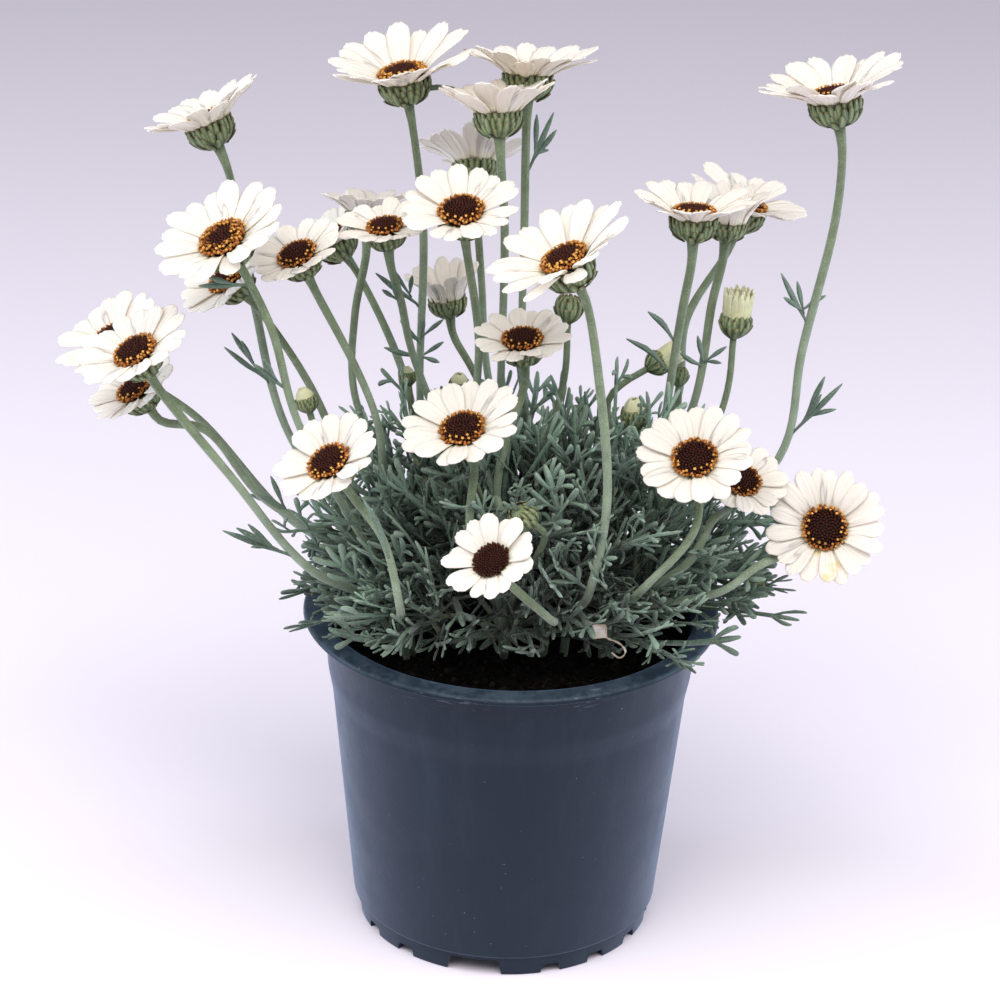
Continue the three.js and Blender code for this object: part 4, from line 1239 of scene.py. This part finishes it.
def finger(start, way, up, length, width, bend, curl, from_along):
    """A lobe of a leaf from its root to its blunt tip, widest past its middle."""
    side = unit(np.cross(way, up))
    shares = LOBE_SHARES[:, None]
    centres = start + length * (shares * way + shares ** 2 * (bend * up + curl * side))
    half_widths = width / 2 * LOBE_WIDTHS
    half_depths = half_widths * np.linspace(0.6, 0.42, 5)
    return lobe(centres, side, up, half_widths, half_depths, from_along + (1 - from_along) * LOBE_SHARES)


def divided_leaf(number):
    """A leaf along +Y with its upper face to +Z: a flat rib with blunt, forked lobes in its outer half."""
    random = draws("leaf", number)
    droop = random.uniform(-0.3, 0.7)
    sway = random.uniform(-0.16, 0.16)
    fold = random.uniform(0.0, 0.4)

    def rib_point(t):
        return LEAF_LENGTH * np.array([sway * math.sin(t * 3), t, 0.14 * t - droop * 0.5 * t * t])

    shares = np.array([0.0, 0.2, 0.42, 0.6, 0.78, 0.91, 0.985])
    centres = np.array([rib_point(t) for t in shares])
    half_widths = np.array([0.7, 0.55, 0.72, 0.8, 0.9, 0.88, 0.5])
    parts = [lobe(centres, np.array([1.0, 0, 0]), UP, half_widths, half_widths * 0.42, shares)]
    pairs = random.integers(2, 4)
    first = random.uniform(0.38, 0.48)
    for k in range(pairs):
        for sign in (-1, 1):
            if k == 0 and random.random() < 0.3:
                continue
            where = first + (0.78 - first) * k / (pairs - 1) + random.uniform(-0.03, 0.03)
            start = rib_point(where)
            ahead = unit(rib_point(where + 0.03) - rib_point(where - 0.03))
            opening = math.radians(random.uniform(54, 68) - 26 * where)
            way = turned_about(ahead, UP, -sign * opening)
            way = unit(way + UP * (fold + random.uniform(-0.1, 0.1)))
            length = LEAF_LENGTH * (0.33 - 0.26 * abs(where - 0.52)) * random.uniform(0.82, 1.12)
            width = random.uniform(1.5, 1.95)
            inward = sign * random.uniform(0.0, 0.3)
            bend = random.uniform(-0.15, 0.2)
            parts.append(finger(start, way, UP, length, width, bend, -inward, where))
            if random.random() < 0.5:
                fork = sign if random.random() < 0.8 else -sign
                at = random.uniform(0.32, 0.48)
                side = unit(np.cross(way, UP))
                root = start + length * (at * way + at * at * (bend * UP - inward * side))
                branch = unit(turned_about(way, UP, -fork * math.radians(random.uniform(36, 50))))
                short = length * random.uniform(0.42, 0.58)
                parts.append(finger(root, branch, UP, short, width * 0.92, bend, fork * 0.2, 0.7))
    return joined(parts)


def towards_front(azimuth):
    """From 0 at the sides and the back to 1 at the front, where the soil shows."""
    away = math.atan2(math.sin(azimuth - FRONT), math.cos(azimuth - FRONT))
    return math.exp(-(away / math.radians(32)) ** 2)


def nearest_clump(point):
    def apart(name):
        return math.hypot(point[0] * 0.55 - CLUMPS[name][0], point[1] * 0.55 - CLUMPS[name][1])
    return min(CLUMPS, key=apart)


BLOOM_DEPTH = (-9, 12)
BLOOM_FRAMES = [(np.linalg.inv(flower_frame(flower)), flower["across"] / 2) for flower in FLOWERS]


def between(values, limits):
    return (values > limits[0]) & (values < limits[1])


def is_clear(points):
    """Whether a leaf stays off the lip, off the open soil at the front and off the blooms."""
    x, y, z = points.T
    from_axis = np.hypot(x, y)
    within_lip = from_axis < LIP_RADIUS + 1
    barred = (z < POT_HEIGHT + 0.8) & (from_axis > SOIL_RADIUS - 0.5) & within_lip
    barred |= (z < SOIL_TOP + 0.2) & within_lip
    barred |= z < np.where(y < -28, POT_HEIGHT + 2, POT_HEIGHT - 4)
    before_lip = between(x, LIP_FRONT_X) & (y < LIP_FRONT_Y) & (from_axis > SOIL_RADIUS + 4)
    barred |= before_lip & (z < LIP_FRONT_HEIGHT)
    open_soil = between(x, OPEN_SOIL_X) & (y < OPEN_SOIL_Y)
    barred |= open_soil & (z < SOIL_TOP - 3 - OPEN_SOIL_SLOPE * (y - OPEN_SOIL_Y))
    barred |= np.linalg.norm(points - DRIED_LEAF_AT, axis=1) < DRIED_LEAF_ROOM
    if barred.any():
        return False
    for inverse, radius in BLOOM_FRAMES:
        x, y, z = (points @ inverse[:3, :3].T + inverse[:3, 3]).T
        if ((np.hypot(x, y) < radius + 1) & between(z, BLOOM_DEPTH)).any():
            return False
    return True


def painted_depth_shade(points):
    """Painted shade, and older leaves: from 0 deep in the cushion and low down, where shade falls and the
    leaves are old and dark, to 1 at its skin.
    """
    size = (CUSHION_RADIUS, CUSHION_RADIUS, CUSHION_HEIGHT)
    away = np.linalg.norm((points - CUSHION_MIDDLE) / size, axis=1)
    share = np.clip((away - 0.55) / 0.5, 0, 1)
    return share * share * (3 - 2 * share) * np.clip((points[:, 2] - SOIL_TOP - 3) / 38, 0.14, 1)


def tuft(end, axis, patterns, random):
    """The leaves of one shoot, in a spiral: short and upright at its end, long and spreading below."""
    turn_on = random.uniform(0, 2 * math.pi)
    side, ahead, _ = leaning_axes(np.cross(axis, (0.1, 0.9, 0.3)), axis)
    leaves = []
    for j in range(LEAVES_PER_SHOOT):
        age = j / LEAVES_PER_SHOOT
        for tries in range(5):
            angle = turn_on + j * GOLDEN_ANGLE + random.uniform(-0.25, 0.25)
            tilt = math.radians(8 + 60 * age ** 0.75 - 8 * tries) + random.uniform(-0.12, 0.12)
            round_way = side * math.cos(angle) + ahead * math.sin(angle)
            way = unit(axis * math.cos(tilt) + round_way * math.sin(tilt))
            root = end - axis * (1.0 + 26 * age)
            scale = (0.6 + 0.52 * min(1, 2.6 * age)) * random.uniform(0.85, 1.15)
            inner = unit(axis * math.sin(tilt) - round_way * math.cos(tilt))
            inner = turned_about(inner, way, random.uniform(-0.6, 0.6))
            leaf_axes = leaning_axes(way, inner)
            matrix = axes_matrix(*(v * scale for v in leaf_axes), root)
            points, faces, marks = placed(patterns[random.integers(LEAF_PATTERNS)], matrix, 0)
            if is_clear(points):
                # painted shade carried in the tint mark: darker deep in the cushion, low down, and on the
                # older leaves lower on the shoot
                marks[:, 2] = painted_depth_shade(points) * (1 - 0.25 * age) * random.uniform(0.75, 1.1)
                leaves.append((points, faces, marks))
                break
    return leaves


def leafy_shoots():
    """Shoots spread over the cushion, each with a tuft of leaves round its end."""
    random = draws("shoots")
    patterns = [divided_leaf(k) for k in range(LEAF_PATTERNS)]
    leaves = {name: [] for name in CLUMPS}
    shoots = {name: [] for name in CLUMPS}
    ends = []
    for k in range(SHOOTS):
        height = 0.97 - 1.20 * (k + 0.5) / SHOOTS + random.uniform(-0.07, 0.07)
        turn = k * GOLDEN_ANGLE + random.uniform(-0.25, 0.25)
        front = towards_front(turn)
        if front > 0.55 and height < 0.1:
            continue
        level = math.sqrt(max(0, 1 - height * height))
        out = outward(turn)
        depth = random.uniform(0.42, 0.86)
        end = CUSHION_MIDDLE + out * CUSHION_RADIUS * level * depth * (1 - 0.2 * front)
        end = end + UP * CUSHION_HEIGHT * height * depth
        end[2] = max(end[2], SOIL_TOP + 10)
        climb = 0.35 + 1.2 * max(height + 0.05, 0) ** 0.7
        ends.append((end, out * level + UP * climb))
    for degrees, reach, height, climb in LOW_SHOOTS:
        out = outward(math.radians(degrees))
        ends.append((out * reach + UP * height, out + UP * climb))
    for end, way in ends:
        axis = unit(way + random.normal(size=3) * 0.13)
        clump = nearest_clump(end)
        x, y = CLUMPS[clump]
        knots = [(x, y, SOIL_TOP - 1), (x * 1.12, y * 1.12, SOIL_TOP + 9), end - axis * 16, end]
        path = curve_points(knots, 12)
        grown = tuft(end, axis, patterns, random)
        if len(grown) > LEAVES_PER_SHOOT / 2:
            shoots[clump].append(tube(path, np.linspace(1.2, 0.6, 12), 6))
            leaves[clump] += grown
    return leaves, shoots


def stem_path(flower, count):
    """The stem's middle line, which bends into the axis of its cup."""
    foot = -CUP_HEIGHT * size_of(flower)
    knots = root_of(flower) + flower["via"]
    neck = on_axis(flower, foot - 7)
    while np.linalg.norm(neck - knots[-1]) < 12:
        knots.pop()
    knots += [neck, on_axis(flower, foot + 0.8)]
    return curve_points(knots, count)


def stem_leaf(flower, height, lobes, number):
    """A leaf on a flower stem: a slender foot that parts into long spindle-shaped lobes."""
    random = draws("stem_leaf", number)
    path = stem_path(flower, 160)
    root = path[np.argmin(np.abs(path[:, 2] - height))]
    ways = np.array(lobes, float)
    facing = np.array([0.1, -0.85, 0.5])
    middle = ways.mean(axis=0)
    fork = root + 0.4 * middle
    parts = []
    for k, way in enumerate(ways):
        start = root + (0.25 + 0.1 * k) * middle if k else root
        to_tip = root + way - start
        length = np.linalg.norm(to_tip)
        knots = [start, (start + fork) / 2, start + 0.5 * to_tip + 0.12 * (fork - start), start + to_tip]
        if len(ways) == 1:
            knots = [start, start + 0.5 * to_tip + 0.1 * length * UP, start + to_tip]
        centres = curve_points(knots, 7)
        side = unit(np.cross(to_tip, facing))
        up = unit(np.cross(side, to_tip))
        width = random.uniform(1.7, 2.1) * min(1.0, 0.6 + length / 40)
        half_widths = width / 2 * np.array([0.4, 0.45, 0.6, 0.9, 1.0, 0.8, 0.3])
        parts.append(lobe(centres, side, up, half_widths, half_widths * 0.45, np.linspace(0, 1, 7)))
    points, faces, marks = joined(parts)
    marks[:, 2] = random.uniform(0.35, 0.6)
    return points, faces, marks


def dried_leaf():
    """A withered leaf caught in the foliage at the front: a pale crumpled blade and a curled thread."""
    knots = [(23, -55, 127.5), (25.4, -55, 125.2), (28.2, -55, 122.9), (30.3, -55.5, 122.3),
             (32.7, -56, 121.1), (34, -56, 118.4), (32.3, -55.5, 116.4), (29.9, -55, 118)]
    centres = curve_points(knots, 26)[:, None, :]
    t, u = grid(np.linspace(0, 1, 26), 5)
    half = 0.28 + 3.0 * np.exp(-((t - 0.17) / 0.12) ** 2)
    twist = 0.35 + 2.0 * t + 0.5 * np.sin(t * 21)
    side = np.stack([0.68 * np.cos(twist), -0.3 * np.sin(twist), 0.73 * np.cos(twist)], axis=2)
    side /= np.linalg.norm(side, axis=2)[:, :, None]
    curl = (0.7 * u ** 2 + 0.25 * np.sin(5 * u + 19 * t)) * half / 2
    points = centres + side * (half * u)[:, :, None] + np.array([0, -0.9, 0.4]) * curl[:, :, None]
    return sheet(points, 0.3, t, u)


def make_plant():
    leaves, shoots = leafy_shoots()
    for number, (on, height, lobes) in enumerate(STEM_LEAVES):
        flower = FLOWERS[on]
        leaves[flower["clump"]].append(stem_leaf(flower, height, lobes, number))
    crests = []
    for name in CLUMPS:
        blooms = [(i, flower) for i, flower in enumerate(FLOWERS) if flower["clump"] == name]
        stems = [flower_stem(flower) for _, flower in blooms]
        scaled = [cup(flower, i) for i, flower in blooms]
        for i, spec in enumerate(BUDS):
            if spec["clump"] == name:
                stalk, knob, crest = bud(spec, i)
                stems.append(stalk)
                scaled.append(knob)
                crests += crest
        make_piece(f"leaves_{name}", leaves[name], LEAF, [f"clump_{name}"])
        make_piece(f"stems_{name}", stems + shoots[name], STEM)
        make_piece(f"cups_{name}", scaled, BRACT)
    make_piece("bud_crests", crests, young_ray_finish())
    for i, flower in enumerate(FLOWERS):
        number = f"{i + 1:02d}"
        matrix = flower_frame(flower)
        rays = [placed(one, matrix) for one in corolla(flower, i)]
        make_piece(f"rays_{number}", rays, PETAL, [f"petals_{number}"])
        florets = [placed(one, matrix) for one in disc(flower, i)]
        stands_for = () if flower.get("covered") else [f"florets_{number}"]
        make_piece(f"disc_{number}", florets, FLORET, stands_for)
    make_piece("dried_leaf", [dried_leaf()], dry_leaf_finish())


# The room: a plain floor, soft lights and the camera, in metres and degrees
FLOOR_REACH = 6
CAMERA_FROM_POT = (-0.00435, -0.97155, 0.58092)
CAMERA_TILT = 65.7
CAMERA_ROLL = 1.45
CAMERA_LENS = 124.66
AMBIENT = (0.94, 0.93, 1.0, 1.0)
AMBIENT_STRENGTH = 0.40
KEY_SIZE = (1.3, 0.9)
SIDE_SIZE = (0.5, 0.6)
WARM = (1.0, 0.98, 0.96)
COOL = (0.66, 0.82, 1.0)


def make_floor():
    mesh = bpy.data.meshes.new("floor")
    corners = [(x * FLOOR_REACH, y * FLOOR_REACH, 0) for x, y in ((-1, -1), (1, -1), (1, 1), (-1, 1))]
    mesh.from_pydata(corners, [], [(0, 1, 2, 3)])
    mesh.materials.append(floor_finish())
    new_object("floor", mesh)


def soft_box(name, place, towards, size, power, tone, opening=180):
    lamp = bpy.data.lights.new(name, "AREA")
    lamp.shape = "RECTANGLE"
    lamp.size, lamp.size_y = size
    lamp.energy = power
    lamp.color = tone
    lamp.spread = math.radians(opening)
    made = new_object(name, lamp)
    made.location = place
    made.rotation_euler = (Vector(towards) - Vector(place)).to_track_quat("-Z", "Y").to_euler()


def make_room():
    scene = bpy.context.scene
    world = bpy.data.worlds.new("studio")
    world.use_nodes = True
    background = world.node_tree.nodes["Background"]
    background.inputs["Color"].default_value = AMBIENT
    background.inputs["Strength"].default_value = AMBIENT_STRENGTH
    scene.world = world
    soft_box("key_left", (-0.6, -0.6, 1.15), (-0.35, -0.2, 0), KEY_SIZE, 5.8, WARM, 110)
    soft_box("key_right", (0.6, -0.6, 1.15), (0.35, -0.2, 0), KEY_SIZE, 5.6, WARM, 110)
    soft_box("left_side", (-1.2, 0.1, 0.35), (0, 0, 0.1), SIDE_SIZE, 7, COOL)
    soft_box("right_side", (1.2, 0.1, 0.35), (0, 0, 0.1), SIDE_SIZE, 6, COOL)
    scene.view_settings.view_transform = "Standard"


def make_camera():
    camera = bpy.data.cameras.new("camera")
    camera.lens = CAMERA_LENS
    camera.sensor_width = 36
    camera.clip_start = 0.05
    camera.clip_end = 30
    made = new_object("camera", camera)
    made.location = POT_AXIS + Vector(CAMERA_FROM_POT)
    tilt = Matrix.Rotation(math.radians(CAMERA_TILT), 4, "X")
    made.rotation_euler = (tilt @ Matrix.Rotation(math.radians(CAMERA_ROLL), 4, "Z")).to_euler()
    bpy.context.scene.camera = made


make_camera()
nursery_pot()
make_soil()
make_plant()
make_floor()
make_room()
